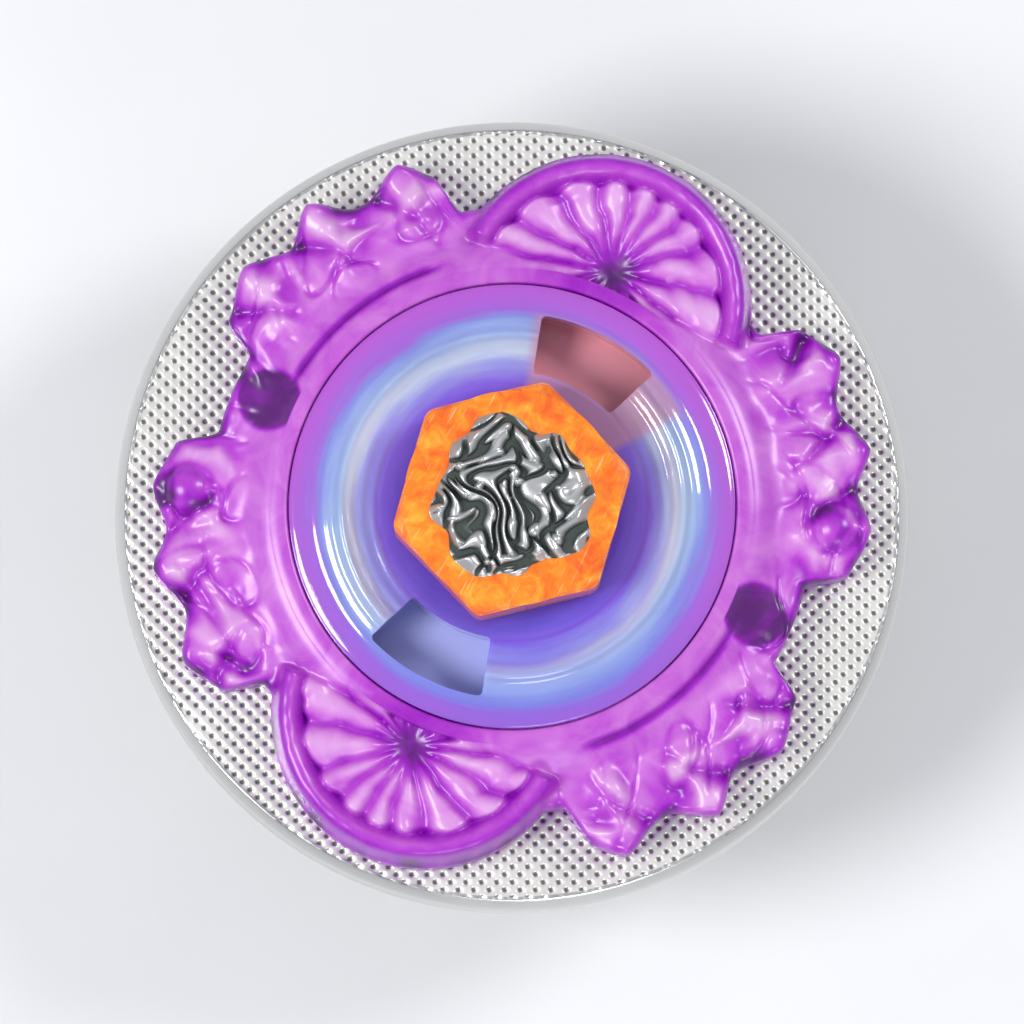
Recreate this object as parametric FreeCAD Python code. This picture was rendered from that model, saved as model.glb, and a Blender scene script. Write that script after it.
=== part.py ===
"""Light up spinning top: a hexagonal face bolt clamps a blue light lens, a sculpted
see-through ring and a metal wheel onto a plated spin base. The wheel's bore holds a closed
light module with button cells, lamps, a flasher chip and a centrifugal switch. The bolt,
turned anticlockwise, unscrews from the base, and the layers then lift off one by one.

Millimetres. +Z is the spin axis and points up, and the origin is the centre of the flat
end of the tip, where the top touches the floor. The launcher wells lie on +Y and -Y.
Angles are in degrees from +X about +Z.
"""

import FreeCAD
import Part

import math
import os

V = FreeCAD.Vector
AXIS = V(0, 0, 1)

# ---------------------------------------------------------------- driving dimensions
WHEEL_R = 30.0  # outer radius of the metal wheel
WHEEL_BOTTOM = 17.5
WHEEL_TOP = 25.0
HUB_R = 16.4  # the module that fills the wheel's bore
HUB_FLANGE_R = 17.3
HUB_BOTTOM = 16.3
HUB_FLOOR = 19.6  # inner floor of the module
STEM_R = 4.1  # bolt stem, and the crest of its thread
STEM_BORE_R = 4.6  # clear bore for the stem through the light module
STEM_FIT_R = 4.2  # running fit of the stem in the lens, which the bolt stays in
TUBE_R = 5.9  # outside of the module's central tube
BOLT_FLAT = 15.9  # across the flats of the hexagonal head
BOLT_SEAT = 31.0  # underside of the head
BOLT_TOP = 36.0
BOLT_TURNED = 41.8  # a corner of the hexagon lies at this angle
THREAD_LEAD = 3.0
FLANGE_R = 9.1  # of the spin base, over its teeth
BASE_TOP = 18.1
TIP_FLAT_R = 2.2
GAP = 0.15  # general clearance between pieces of different bodies

WELL_MID = 90.0  # middle of a launcher well; the other is half a turn on
WELL_HALF = 19.0  # half its open angle
WELL_HOOK = 14.0  # angle that it runs on under the lens, for the launcher's hook
WELL_IN_R = 10.05
WELL_OUT_R = 14.5
WELL_FLOOR = 26.4  # floor of the bay that the module's cover has under a well

CELL_R = 3.95  # LR41 button cell, 7.9 x 3.6
CELL_THICK = 3.6
CELL_RING_R = 10.2
CELL_ANGLES = (22.0, 142.0, 262.0)
SCREW_RING_R = 13.0
SCREW_ANGLES = (82.0, 202.0, 322.0)
STRIP_THICK = 0.3
CELL_BOTTOM = HUB_FLOOR + STRIP_THICK
BOARD_BOTTOM = CELL_BOTTOM + CELL_THICK
BOARD_TOP = BOARD_BOTTOM + 1.0
LAMP_RING_R = 12.0
LAMPS = {"led_blue_1": 125.0, "led_red_1": 180.0, "led_blue_2": 304.0, "led_red_2": 13.0}
SWITCH_ANGLE = 150.0
CHIP_ANGLE = 343.0
RESISTOR_ANGLES = (36.0, 222.0)

COVER_CEILING = 28.4
COVER_TOP = 29.2
COVER_R = 15.7
COVER_WALL = 0.45
LENS_BOTTOM = 29.4
LENS_R = 16.7
LENS_EDGE_TOP = 30.2
RING_TOP = 30.6  # collar of the see-through ring round the lens


# ---------------------------------------------------------------- plain shapes
def polar(radius, angle, z=0.0):
    """Point at a radius and angle about the spin axis."""
    a = math.radians(angle)
    return V(radius * math.cos(a), radius * math.sin(a), z)


def disc(radius, low, high, centre=V(0, 0, 0)):
    """Upright cylinder from one height to another."""
    return Part.makeCylinder(radius, high - low, V(centre.x, centre.y, low))


def hoop(inner, outer, low, high):
    """Flat ring about the spin axis."""
    return disc(outer, low, high).cut(disc(inner, low - 1, high + 1))


def sector(inner, outer, start, end, low, high):
    """Piece of a flat ring between two angles."""
    wedge = Part.makeCylinder(outer, high - low, V(0, 0, low), AXIS, end - start)
    wedge.rotate(V(0, 0, 0), AXIS, start)
    return wedge.cut(disc(inner, low - 1, high + 1))


def turned(points):
    """Solid of revolution about the spin axis, from (radius, z) corners."""
    corners = [V(r, 0, z) for r, z in points]
    face = Part.Face(Part.makePolygon(corners + corners[:1]))
    return face.revolve(V(0, 0, 0), AXIS, 360)


def block(length, width, low, high, radius, angle):
    """Box whose length runs outwards at an angle, centred on a radius."""
    box = Part.makeBox(length, width, high - low, V(radius - length / 2, -width / 2, low))
    box.rotate(V(0, 0, 0), AXIS, angle)
    return box


def hexagon(across_flats, low, high, corner_angle):
    """Upright hexagonal prism with a corner at an angle."""
    corner_r = across_flats / 2 / math.cos(math.radians(30))
    corners = [polar(corner_r, corner_angle + 60 * k, low) for k in range(7)]
    return Part.Face(Part.makePolygon(corners)).extrude(V(0, 0, high - low))


def joined(shapes):
    """Union of several shapes as one clean solid."""
    shapes = list(shapes)
    return shapes[0].multiFuse(shapes[1:]).removeSplitter() if len(shapes) > 1 else shapes[0]


def both_sides(shape):
    """The shape and its copy half a turn round the spin axis."""
    other = shape.copy()
    other.rotate(V(0, 0, 0), AXIS, 180)
    return [shape, other]


def thread(root_r, crest_r, low, high, root_half, crest_half):
    """Right-handed helical rib, its section a trapezium that starts just inside the root."""
    sunk = 0.1
    path = Part.makeHelix(THREAD_LEAD, high - low, root_r)
    path.translate(V(0, 0, low))
    corners = [
        V(root_r - sunk, 0, low - root_half),
        V(crest_r, 0, low - crest_half),
        V(crest_r, 0, low + crest_half),
        V(root_r - sunk, 0, low + root_half),
    ]
    section = Part.makePolygon(corners + corners[:1])
    return Part.Wire(path).makePipeShell([section], True, True)


# ---------------------------------------------------------------- spin base and tip
THREAD_LOW = 11.6  # where the bolt's rib starts, at the middle of its section
THREAD_TURNS = 2.0
ROOT_R = 3.5
RIB_ROOT_HALF = 0.7  # half the rib's height where it leaves the core
RIB_CREST_HALF = 0.35
NECK_R = 5.5
SKIRT_IN_R = 6.6
SKIRT_BOTTOM = 13.2
SKIRT_CEILING = 15.4
FLANGE_CORE_R = 8.3
FLANGE_TEETH = 12
TOOTH_HALF = 8.0
TIP_PLUG_R = 3.2
TIP_SOCKET_TOP = 9.0
NECK_BOTTOM = 5.2


def spin_base():
    """Plated base: toothed flange with a skirt, stepped neck, threaded bore for the bolt."""
    body = turned([
        (0, TIP_SOCKET_TOP), (TIP_PLUG_R, TIP_SOCKET_TOP), (TIP_PLUG_R, NECK_BOTTOM),
        (4.2, NECK_BOTTOM), (4.6, 9.0), (5.4, 9.5), (NECK_R, 10.5), (NECK_R, SKIRT_CEILING),
        (SKIRT_IN_R, SKIRT_CEILING), (SKIRT_IN_R, SKIRT_BOTTOM), (FLANGE_CORE_R, SKIRT_BOTTOM),
        (FLANGE_CORE_R, BASE_TOP), (0, BASE_TOP),
    ])
    teeth = [
        sector(FLANGE_CORE_R - 0.6, FLANGE_R, 30 * k - TOOTH_HALF, 30 * k + TOOTH_HALF,
               SKIRT_BOTTOM + 0.4, BASE_TOP)
        for k in range(FLANGE_TEETH)
    ]
    body = joined([body] + teeth)
    bore = disc(ROOT_R + GAP, 10.0, BASE_TOP + 1)
    start = THREAD_LOW - THREAD_LEAD / 4
    groove = thread(
        ROOT_R + GAP, STEM_R + GAP, start, start + THREAD_LEAD * (THREAD_TURNS + 0.9),
        RIB_ROOT_HALF + GAP, RIB_CREST_HALF + GAP,
    )
    groove.rotate(V(0, 0, 0), AXIS, -90)
    return body.cut(bore).cut(groove)


def tip():
    """Tip pressed into the base's lower socket, with the flat end that the top spins on."""
    return turned([
        (0, 0), (TIP_FLAT_R - 0.25, 0), (TIP_FLAT_R, 0.25), (2.6, 1.6), (3.2, 2.6), (3.9, 3.8),
        (4.2, 4.6), (4.2, NECK_BOTTOM), (TIP_PLUG_R, NECK_BOTTOM), (TIP_PLUG_R, 8.6),
        (2.9, 8.9), (0, 8.9),
    ])


# ---------------------------------------------------------------- metal wheel
PEEP_R = 2.4
PEEP_RING_R = 19.9
PEEP_ANGLE = 184.0
PEG_RING_R = 21.5  # pegs under the ring's fans
PEG_R = 1.4
FAN_ANGLE = 95.0


def metal_wheel():
    """Heavy wheel: chamfered rim, two see-through holes, ring sockets, hollowed underside."""
    body = turned([
        (HUB_R + 0.1, WHEEL_BOTTOM), (27.6, WHEEL_BOTTOM), (28.8, 18.7), (29.6, 19.3),
        (WHEEL_R, 20.2), (WHEEL_R, 24.1), (29.2, WHEEL_TOP), (HUB_R + 0.1, WHEEL_TOP),
    ])
    peeps = both_sides(disc(PEEP_R, 15, 27, polar(PEEP_RING_R, PEEP_ANGLE)))
    sockets = both_sides(disc(PEG_R + GAP, 22.8, 27, polar(PEG_RING_R, FAN_ANGLE)))
    pockets = [sector(19.2, 26.6, 60 * k + 13, 60 * k + 55, 17, 21.5) for k in range(6)]
    for tool in peeps + sockets + pockets:
        body = body.cut(tool)
    return body


# ---------------------------------------------------------------- see-through ring
FAN_CENTRE_R = 16.8
FAN_R = 11.5
VALLEY_R = 22.8
CREST_R = 25.7
# each crest: start and end of its shelf, then (angle, width, extra height) of its lumps
CRESTS = (
    (127.5, 178.0, ((136.5, 7.0, 1.7), (152.0, 7.0, 2.0), (166.0, 8.5, 1.5))),
    (193.0, 243.5, ((204.5, 9.0, 1.3), (217.5, 7.5, 1.6), (233.0, 7.5, 1.5))),
)
CREST_EDGE = 4.0  # angle over which a crest rises from the valley


def smooth(x):
    """Rises from 0 to 1 as x does, with level ends."""
    x = min(1.0, max(0.0, x))
    return x * x * (3 - 2 * x)


def outline_radius(angle):
    """Radius of the ring's edge: a round fan and two lumpy crests, repeated each half turn."""
    best = VALLEY_R
    for turn in (-180, 0, 180):
        a = angle + turn
        off = math.radians(a - FAN_ANGLE)
        reach = FAN_R**2 - (FAN_CENTRE_R * math.sin(off)) ** 2
        if abs(a - FAN_ANGLE) < 90 and reach > 0:
            best = max(best, FAN_CENTRE_R * math.cos(off) + math.sqrt(reach))
        for start, end, lumps in CRESTS:
            shelf = smooth((a - start) / CREST_EDGE) * smooth((end - a) / CREST_EDGE)
            extra = sum(
                high * math.cos(math.pi / 2 * (a - mid) / wide) ** 2
                for mid, wide, high in lumps
                if abs(a - mid) < wide
            )
            best = max(best, VALLEY_R + shelf * (CREST_R - VALLEY_R + extra))
    return best


def ring_blank(low, high, inset):
    """Prism of the ring's outline, drawn in by an inset."""
    points = [polar(outline_radius(a) - inset, a, low) for a in range(0, 360, 2)]
    curve = Part.BSplineCurve()
    curve.interpolate(points, PeriodicFlag=True)
    return Part.Face(Part.Wire(curve.toShape())).extrude(V(0, 0, high - low))


def energy_ring():
    """See-through ring: lumpy plate with a fan on each side, a collar for the lens, pegs."""
    plate = ring_blank(WHEEL_TOP, 28.2, 0.0)
    upper = ring_blank(28.2, 29.2, 1.2)
    collar = disc(18.2, 29.2, RING_TOP)
    fan = disc(FAN_R - 1.0, 29.2, 31.2, polar(FAN_CENTRE_R, FAN_ANGLE))
    keep = Part.makeBox(20, 40, 10, V(18.4, -20, 28))
    keep.rotate(V(0, 0, 0), AXIS, FAN_ANGLE)
    fans = both_sides(fan.common(keep))
    pegs = both_sides(disc(PEG_R, 23.0, WHEEL_TOP + 0.5, polar(PEG_RING_R, FAN_ANGLE)))
    body = joined([plate, upper, collar] + fans + pegs)
    body = body.cut(disc(COVER_R + 0.4, 20, 40))
    return body.cut(disc(LENS_R + 0.1, LENS_BOTTOM, 40))


# ---------------------------------------------------------------- light lens
def well(low, high, grow, hook):
    """Space of one launcher well, grown on every side, with or without its hook end."""
    start = WELL_MID - WELL_HALF - (WELL_HOOK if hook else 0)
    spread = math.degrees(grow / WELL_IN_R)
    return sector(
        WELL_IN_R - grow, WELL_OUT_R + grow, start - spread, WELL_MID + WELL_HALF + spread,
        low, high,
    )


CLIP_R = 5.8  # outer radius of the bolt's retaining clip
CLIP_GROOVE_R = 3.5
CLIP_THICK = 0.5
CLIP_TOP = 30.0


def light_lens():
    """Blue lens that the bolt's head clamps, with the mouths of two launcher wells."""
    body = turned([
        (CLIP_R + GAP, LENS_BOTTOM), (LENS_R, LENS_BOTTOM), (LENS_R, LENS_EDGE_TOP),
        (15.6, 30.7), (13.6, 30.9), (13.2, 31.4), (12.4, 31.4), (12.0, 30.9), (9.8, BOLT_SEAT),
        (STEM_FIT_R, BOLT_SEAT), (STEM_FIT_R, CLIP_TOP), (CLIP_R + GAP, CLIP_TOP),
    ])
    for mouth in both_sides(well(LENS_BOTTOM - 1, 35, 0, False)):
        body = body.cut(mouth)
    return body


# ---------------------------------------------------------------- light module
def module_housing():
    """Lower shell of the light module, keyed underneath for the base."""
    shell = turned([
        (STEM_BORE_R, HUB_BOTTOM), (HUB_FLANGE_R, HUB_BOTTOM), (HUB_FLANGE_R, WHEEL_BOTTOM),
        (HUB_R, WHEEL_BOTTOM), (HUB_R, WHEEL_TOP - 0.1), (COVER_R + 0.1, WHEEL_TOP - 0.1),
        (COVER_R + 0.1, BOARD_TOP), (14.9, BOARD_TOP), (14.9, HUB_FLOOR), (TUBE_R, HUB_FLOOR),
        (TUBE_R, BOARD_TOP + 0.2), (STEM_BORE_R, BOARD_TOP + 0.2),
    ])
    seat = disc(FLANGE_CORE_R + GAP, HUB_BOTTOM - 1, BASE_TOP)
    half = TOOTH_HALF + math.degrees(GAP / FLANGE_CORE_R)
    keys = [
        sector(FLANGE_CORE_R - 0.6, FLANGE_R + GAP, 30 * k - half, 30 * k + half,
               HUB_BOTTOM - 1, BASE_TOP)
        for k in range(FLANGE_TEETH)
    ]
    lead_in = disc(FLANGE_R + GAP, HUB_BOTTOM - 1, HUB_BOTTOM + 0.2)
    shell = shell.cut(joined([seat, lead_in] + keys))
    for angle in SCREW_ANGLES:
        at = polar(SCREW_RING_R, angle)
        shell = shell.cut(disc(1.1, 15, 21, at)).cut(disc(2.1, 15, 17.9, at))
    return shell


def module_cover():
    """Clear upper shell, with screw posts and a sunken bay under each launcher well."""
    inside = COVER_R - COVER_WALL
    shell = turned([
        (STEM_BORE_R, BOARD_TOP + 0.4), (TUBE_R, BOARD_TOP + 0.4), (TUBE_R, COVER_CEILING),
        (inside, COVER_CEILING), (inside, BOARD_TOP + 0.2),
        (COVER_R, BOARD_TOP + 0.2), (COVER_R, COVER_TOP), (STEM_BORE_R, COVER_TOP),
    ])
    bays = both_sides(well(WELL_FLOOR - COVER_WALL, COVER_TOP, GAP + COVER_WALL, True))
    posts = [
        disc(1.9, HUB_FLOOR + 0.1, COVER_CEILING + 0.2, polar(SCREW_RING_R, a))
        for a in SCREW_ANGLES
    ]
    limit = disc(COVER_R, HUB_FLOOR, COVER_TOP)
    shell = joined([shell] + [b.common(limit) for b in bays] + posts)
    for hollow in both_sides(well(WELL_FLOOR, 40, GAP, True)):
        shell = shell.cut(hollow)
    for angle in SCREW_ANGLES:
        shell = shell.cut(disc(1.0, HUB_FLOOR - 1, 25.2, polar(SCREW_RING_R, angle)))
    return shell


def circuit_board():
    """Ring-shaped board over the cells, with holes for the screw posts."""
    board = hoop(TUBE_R + 0.2, 14.6, BOARD_BOTTOM, BOARD_TOP)
    for angle in SCREW_ANGLES:
        board = board.cut(disc(2.1, 20, 30, polar(SCREW_RING_R, angle)))
    return board


def lamp(angle):
    """3 mm lamp: flanged foot, barrel and domed end."""
    at = polar(LAMP_RING_R, angle)
    foot = disc(1.75, BOARD_TOP, BOARD_TOP + 0.8, at)
    barrel = disc(1.45, BOARD_TOP + 0.8, BOARD_TOP + 2.1, at)
    dome = Part.makeSphere(1.45, V(at.x, at.y, BOARD_TOP + 2.1))
    return joined([foot, barrel, dome.cut(disc(3, BOARD_TOP - 2, BOARD_TOP + 1.5, at))])


def button_cell(angle):
    """Button cell: wide can below, a gasket groove, and a narrower cap above."""
    at = polar(CELL_RING_R, angle)
    can = disc(CELL_R, CELL_BOTTOM, CELL_BOTTOM + 2.7, at)
    can = can.makeChamfer(0.25, [can.Edges[2]])
    gasket = disc(CELL_R - 0.45, CELL_BOTTOM + 2.7, CELL_BOTTOM + 2.9, at)
    cap = disc(CELL_R - 0.75, CELL_BOTTOM + 2.9, BOARD_BOTTOM, at)
    return joined([can, gasket, cap])


def cell_strips():
    """Sprung strips on the floor, one under each cell."""
    strips = []
    for angle in CELL_ANGLES:
        pad = disc(2.6, HUB_FLOOR, CELL_BOTTOM, polar(CELL_RING_R, angle))
        tail = block(3.0, 1.8, HUB_FLOOR, CELL_BOTTOM, CELL_RING_R + 3.0, angle)
        strips.append(joined([pad, tail]))
    return Part.makeCompound(strips)


def module_screws():
    """Three pan-head screws from below, up into the cover's posts."""
    screws = []
    for angle in SCREW_ANGLES:
        at = polar(SCREW_RING_R, angle)
        head = disc(1.9, 16.7, 17.9, at)
        head = head.makeFillet(0.5, [head.Edges[2]])
        shank = disc(0.9, 17.9, 25.0, at)
        slot_one = Part.makeBox(2.4, 0.5, 0.6, V(at.x - 1.2, at.y - 0.25, 16.5))
        slot_two = Part.makeBox(0.5, 2.4, 0.6, V(at.x - 0.25, at.y - 1.2, 16.5))
        screws.append(joined([head, shank]).cut(slot_one).cut(slot_two))
    return Part.makeCompound(screws)


def flasher_chip():
    """Small eight-legged chip that flashes the lamps."""
    body = block(3.0, 3.6, BOARD_TOP + 0.2, BOARD_TOP + 1.5, 10.2, CHIP_ANGLE)
    legs = []
    for k in range(4):
        for side in (-1, 1):
            leg = Part.makeBox(0.35, 0.8, 0.35, V(8.95 + 0.72 * k, side * 2.0 - 0.4, BOARD_TOP))
            leg.rotate(V(0, 0, 0), AXIS, CHIP_ANGLE)
            legs.append(leg)
    return joined([body] + legs)


def resistors():
    """Small chip resistors, two at each place."""
    return Part.makeCompound([
        block(2.0, 1.2, BOARD_TOP, BOARD_TOP + 0.6, radius, angle)
        for angle in RESISTOR_ANGLES
        for radius in (8.6, 11.4)
    ])


# ---------------------------------------------------------------- centrifugal switch
WEIGHT_IN_R = 7.3  # rests against the frame's inner stop
WEIGHT_LONG = 2.4
WEIGHT_WIDE = 2.4
WEIGHT_LOW = BOARD_TOP + 0.45
WEIGHT_HIGH = BOARD_TOP + 2.75
SWITCH_MID = (WEIGHT_LOW + WEIGHT_HIGH) / 2
FRAME_LONG = 7.0
FRAME_WALL = 0.5
FRAME_HALF = 1.9
CONTACT_R = 13.3  # inner face of the outer contact, which the pin meets after 1.9 mm
CONTACT_THICK = 0.4
PIN_R = 0.55  # guide pin that the spring sits on
PIN_LONG = 1.7
SPRING_R = 0.85
SPRING_WIRE_R = 0.15
SPRING_TURNS = 4


def switch_frame():
    """Open channel for the weight, with an inner stop."""
    start = WEIGHT_IN_R - FRAME_WALL
    wall = Part.makeBox(FRAME_LONG, FRAME_WALL, 2.2, V(start, FRAME_HALF - FRAME_WALL, BOARD_TOP))
    other = wall.mirror(V(0, 0, 0), V(0, 1, 0))
    floor = Part.makeBox(FRAME_LONG, 2 * FRAME_HALF, 0.35, V(start, -FRAME_HALF, BOARD_TOP))
    stop = Part.makeBox(FRAME_WALL, 2 * FRAME_HALF, 2.2, V(start, -FRAME_HALF, BOARD_TOP))
    frame = joined([floor, wall, other, stop])
    frame.rotate(V(0, 0, 0), AXIS, SWITCH_ANGLE)
    return frame


def switch_weight():
    """Brass weight with a short guide pin that carries the spring and closes the switch."""
    mid = WEIGHT_IN_R + WEIGHT_LONG / 2
    body = block(WEIGHT_LONG, WEIGHT_WIDE, WEIGHT_LOW, WEIGHT_HIGH, mid, SWITCH_ANGLE)
    foot = V(WEIGHT_IN_R + WEIGHT_LONG, 0, SWITCH_MID)
    pin = Part.makeCylinder(PIN_R, PIN_LONG, foot, V(1, 0, 0))
    pin.rotate(V(0, 0, 0), AXIS, SWITCH_ANGLE)
    return joined([body, pin])


def switch_spring():
    """Coil spring from the weight to the outer contact; its wire has eight sides."""
    start = WEIGHT_IN_R + WEIGHT_LONG + SPRING_WIRE_R
    length = CONTACT_R - SPRING_WIRE_R - start
    path = Part.makeHelix(length / SPRING_TURNS, length, SPRING_R)
    corners = []
    for k in range(9):
        a = math.radians(45 * k)
        corners.append(V(SPRING_R + SPRING_WIRE_R * math.cos(a), 0, SPRING_WIRE_R * math.sin(a)))
    spring = Part.Wire(path).makePipeShell([Part.makePolygon(corners)], True, True)
    spring.rotate(V(0, 0, 0), V(0, 1, 0), 90)
    spring.translate(V(start, 0, SWITCH_MID))
    spring.rotate(V(0, 0, 0), AXIS, SWITCH_ANGLE)
    return spring


def switch_contact():
    """Outer contact post, which the pin meets when the top spins fast enough."""
    mid = CONTACT_R + CONTACT_THICK / 2
    return block(CONTACT_THICK, 2.4, BOARD_TOP + 0.35, BOARD_TOP + 3.1, mid, SWITCH_ANGLE)


# ---------------------------------------------------------------- face bolt
EMBLEM_R = 5.9
EMBLEM_SUNK = 0.8


def face_bolt():
    """Hexagonal head on a threaded stem, with a round pocket for the emblem."""
    head = hexagon(BOLT_FLAT, BOLT_SEAT, BOLT_TOP, BOLT_TURNED)
    crown = turned([
        (0, BOLT_SEAT), (9.4, BOLT_SEAT), (9.4, BOLT_TOP - 0.9), (8.0, BOLT_TOP), (0, BOLT_TOP),
    ])
    pocket = disc(EMBLEM_R, BOLT_TOP - EMBLEM_SUNK, BOLT_TOP + 1)
    groove = hoop(CLIP_GROOVE_R, STEM_R + 1, CLIP_TOP - CLIP_THICK, CLIP_TOP)
    stem = disc(STEM_R, 19.0, BOLT_SEAT).cut(groove)
    core = disc(ROOT_R, 10.6, 19.0)
    rib = thread(
        ROOT_R, STEM_R, THREAD_LOW, THREAD_LOW + THREAD_LEAD * THREAD_TURNS, RIB_ROOT_HALF,
        RIB_CREST_HALF,
    )
    return head.common(crown).cut(pocket).fuse(stem).fuse(core).fuse(rib)


def bolt_clip():
    """Open retaining clip in the stem's groove, which keeps the bolt in the lens."""
    clip = hoop(CLIP_GROOVE_R, CLIP_R, CLIP_TOP - CLIP_THICK, CLIP_TOP)
    mouth = Part.makeBox(8, 2.4, 2, V(0, -1.2, CLIP_TOP - 1))
    return clip.cut(mouth)


def face_emblem():
    """Plated emblem pressed into the head: a disc with a three-armed whirl on it."""
    body = disc(EMBLEM_R, BOLT_TOP - EMBLEM_SUNK, BOLT_TOP)
    arms = []
    for k in range(3):
        arm = Part.makeCylinder(2.0, 1.0, V(2.6, 0, BOLT_TOP - 0.2))
        hollow = Part.makeCylinder(1.5, 2.0, V(3.6, 0.9, BOLT_TOP - 0.7))
        arm = arm.cut(hollow)
        arm.rotate(V(0, 0, 0), AXIS, 120 * k + 30)
        arms.append(arm)
    boss = disc(1.3, BOLT_TOP - 0.2, BOLT_TOP + 0.9)
    return joined([body, boss] + arms)


# ---------------------------------------------------------------- all pieces
pieces = {
    "tip": tip(),
    "spin_base": spin_base(),
    "metal_wheel": metal_wheel(),
    "energy_ring": energy_ring(),
    "light_lens": light_lens(),
    "face_bolt": face_bolt(),
    "bolt_clip": bolt_clip(),
    "face_emblem": face_emblem(),
    "module_housing": module_housing(),
    "module_cover": module_cover(),
    "module_screws": module_screws(),
    "circuit_board": circuit_board(),
    "flasher_chip": flasher_chip(),
    "resistors": resistors(),
    "cell_strips": cell_strips(),
    "switch_frame": switch_frame(),
    "switch_weight": switch_weight(),
    "switch_spring": switch_spring(),
    "switch_contact": switch_contact(),
}
for name, angle in LAMPS.items():
    pieces[name] = lamp(angle)
for number, angle in enumerate(CELL_ANGLES, 1):
    pieces[f"button_cell_{number}"] = button_cell(angle)

os.makedirs("parts", exist_ok=True)
for name, shape in pieces.items():
    shape.exportStep(os.path.join("parts", name + ".step"))
    print(f"{name:18s} solids {len(shape.Solids)} valid {shape.isValid()} {shape.Volume:9.1f} mm3")
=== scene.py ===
"""Looks of the light up spinning top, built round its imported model.

The sections follow the top as it is put together, from the tip upwards. Lengths are in
millimetres and become metres where a mesh is made. Angles are in degrees from +X about the
spin axis, and a surface is a grid of points, worked out as whole arrays.
"""

import math

import bpy
import numpy as np
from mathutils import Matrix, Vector


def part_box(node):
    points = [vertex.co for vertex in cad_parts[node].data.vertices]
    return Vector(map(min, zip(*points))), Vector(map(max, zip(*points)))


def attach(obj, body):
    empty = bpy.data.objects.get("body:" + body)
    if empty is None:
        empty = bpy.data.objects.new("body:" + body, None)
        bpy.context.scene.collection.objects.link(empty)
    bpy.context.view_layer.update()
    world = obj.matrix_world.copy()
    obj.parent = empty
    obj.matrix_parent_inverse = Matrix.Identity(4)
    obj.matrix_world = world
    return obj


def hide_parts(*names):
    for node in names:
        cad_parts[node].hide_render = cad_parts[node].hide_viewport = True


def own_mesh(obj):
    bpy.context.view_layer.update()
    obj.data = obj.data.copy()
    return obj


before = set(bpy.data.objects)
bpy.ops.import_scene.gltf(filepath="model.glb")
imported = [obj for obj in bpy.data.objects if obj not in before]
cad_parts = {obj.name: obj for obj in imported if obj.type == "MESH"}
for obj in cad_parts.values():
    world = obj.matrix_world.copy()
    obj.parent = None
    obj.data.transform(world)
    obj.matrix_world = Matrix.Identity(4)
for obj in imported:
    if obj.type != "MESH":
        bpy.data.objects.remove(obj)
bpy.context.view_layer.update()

# ------------------------------------------------------------------------------- tip
# The hard steel end that the top spins on: turned on a lathe, pressed into the socket of
# the spin base, and polished on its flat end by the floor.
MM = 0.001
TURN = 360.0
SHARP = 38.0  # edges that turn by more degrees than this stay crisp
TIP_COLUMNS = 160


def reach(node):
    """Lowest and highest corner of a CAD node, in millimetres."""
    low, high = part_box(node)
    return np.array(low) / MM, np.array(high) / MM


def ease(x):
    """Rises from 0 to 1 as x does, level at both ends: 3x^2 - 2x^3, held outside 0 to 1."""
    x = np.clip(x, 0.0, 1.0)
    return x * x * (3 - 2 * x)


def rounded(corners, radius, steps=6):
    """Outline (radius, height) in which each corner but the first and last is an arc.

    The arc is the quadratic Bezier curve that starts and ends one radius from the corner
    and has the corner as its middle point; a radius is cut to 0.45 of a short side.
    """
    p = np.array(corners, float)
    at = p[1:-1]
    cut = np.broadcast_to(np.asarray(radius, float), len(at))[:, None]

    def along(other):
        way = other - at
        long = np.linalg.norm(way, axis=1, keepdims=True)
        return (at + way / long * np.minimum(cut, 0.45 * long))[:, None]

    t = np.linspace(0, 1, steps)[None, :, None]
    arcs = (1 - t) ** 2 * along(p[:-2]) + 2 * t * (1 - t) * at[:, None] + t**2 * along(p[2:])
    return np.vstack([p[:1], arcs.reshape(-1, 2), p[-1:]])


def evenly(path, step):
    """The same path with each of its sides cut into equal parts no longer than a step."""
    sides = np.diff(path, axis=0)
    parts = np.maximum(1, np.ceil(np.linalg.norm(sides, axis=1) / step)).astype(int)
    side = np.repeat(np.arange(len(parts)), parts)
    done = np.arange(parts.sum()) - np.repeat(np.cumsum(parts) - parts, parts)
    share = (done / parts[side])[:, None]
    return np.vstack([path[side] + share * sides[side], path[-1:]])


def round_axis(radius, height, angle):
    """Grid of points from radius, height and angle, each a number or an array."""
    radius, height, angle = np.broadcast_arrays(radius, height, np.radians(angle))
    return np.stack([radius * np.cos(angle), radius * np.sin(angle), height], axis=-1)


def turned(profile, columns):
    """Grid of a solid of revolution: the profile is carried round the spin axis."""
    angle = np.arange(columns) * TURN / columns
    return round_axis(profile[:, :1], profile[:, 1:], angle[None])


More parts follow.
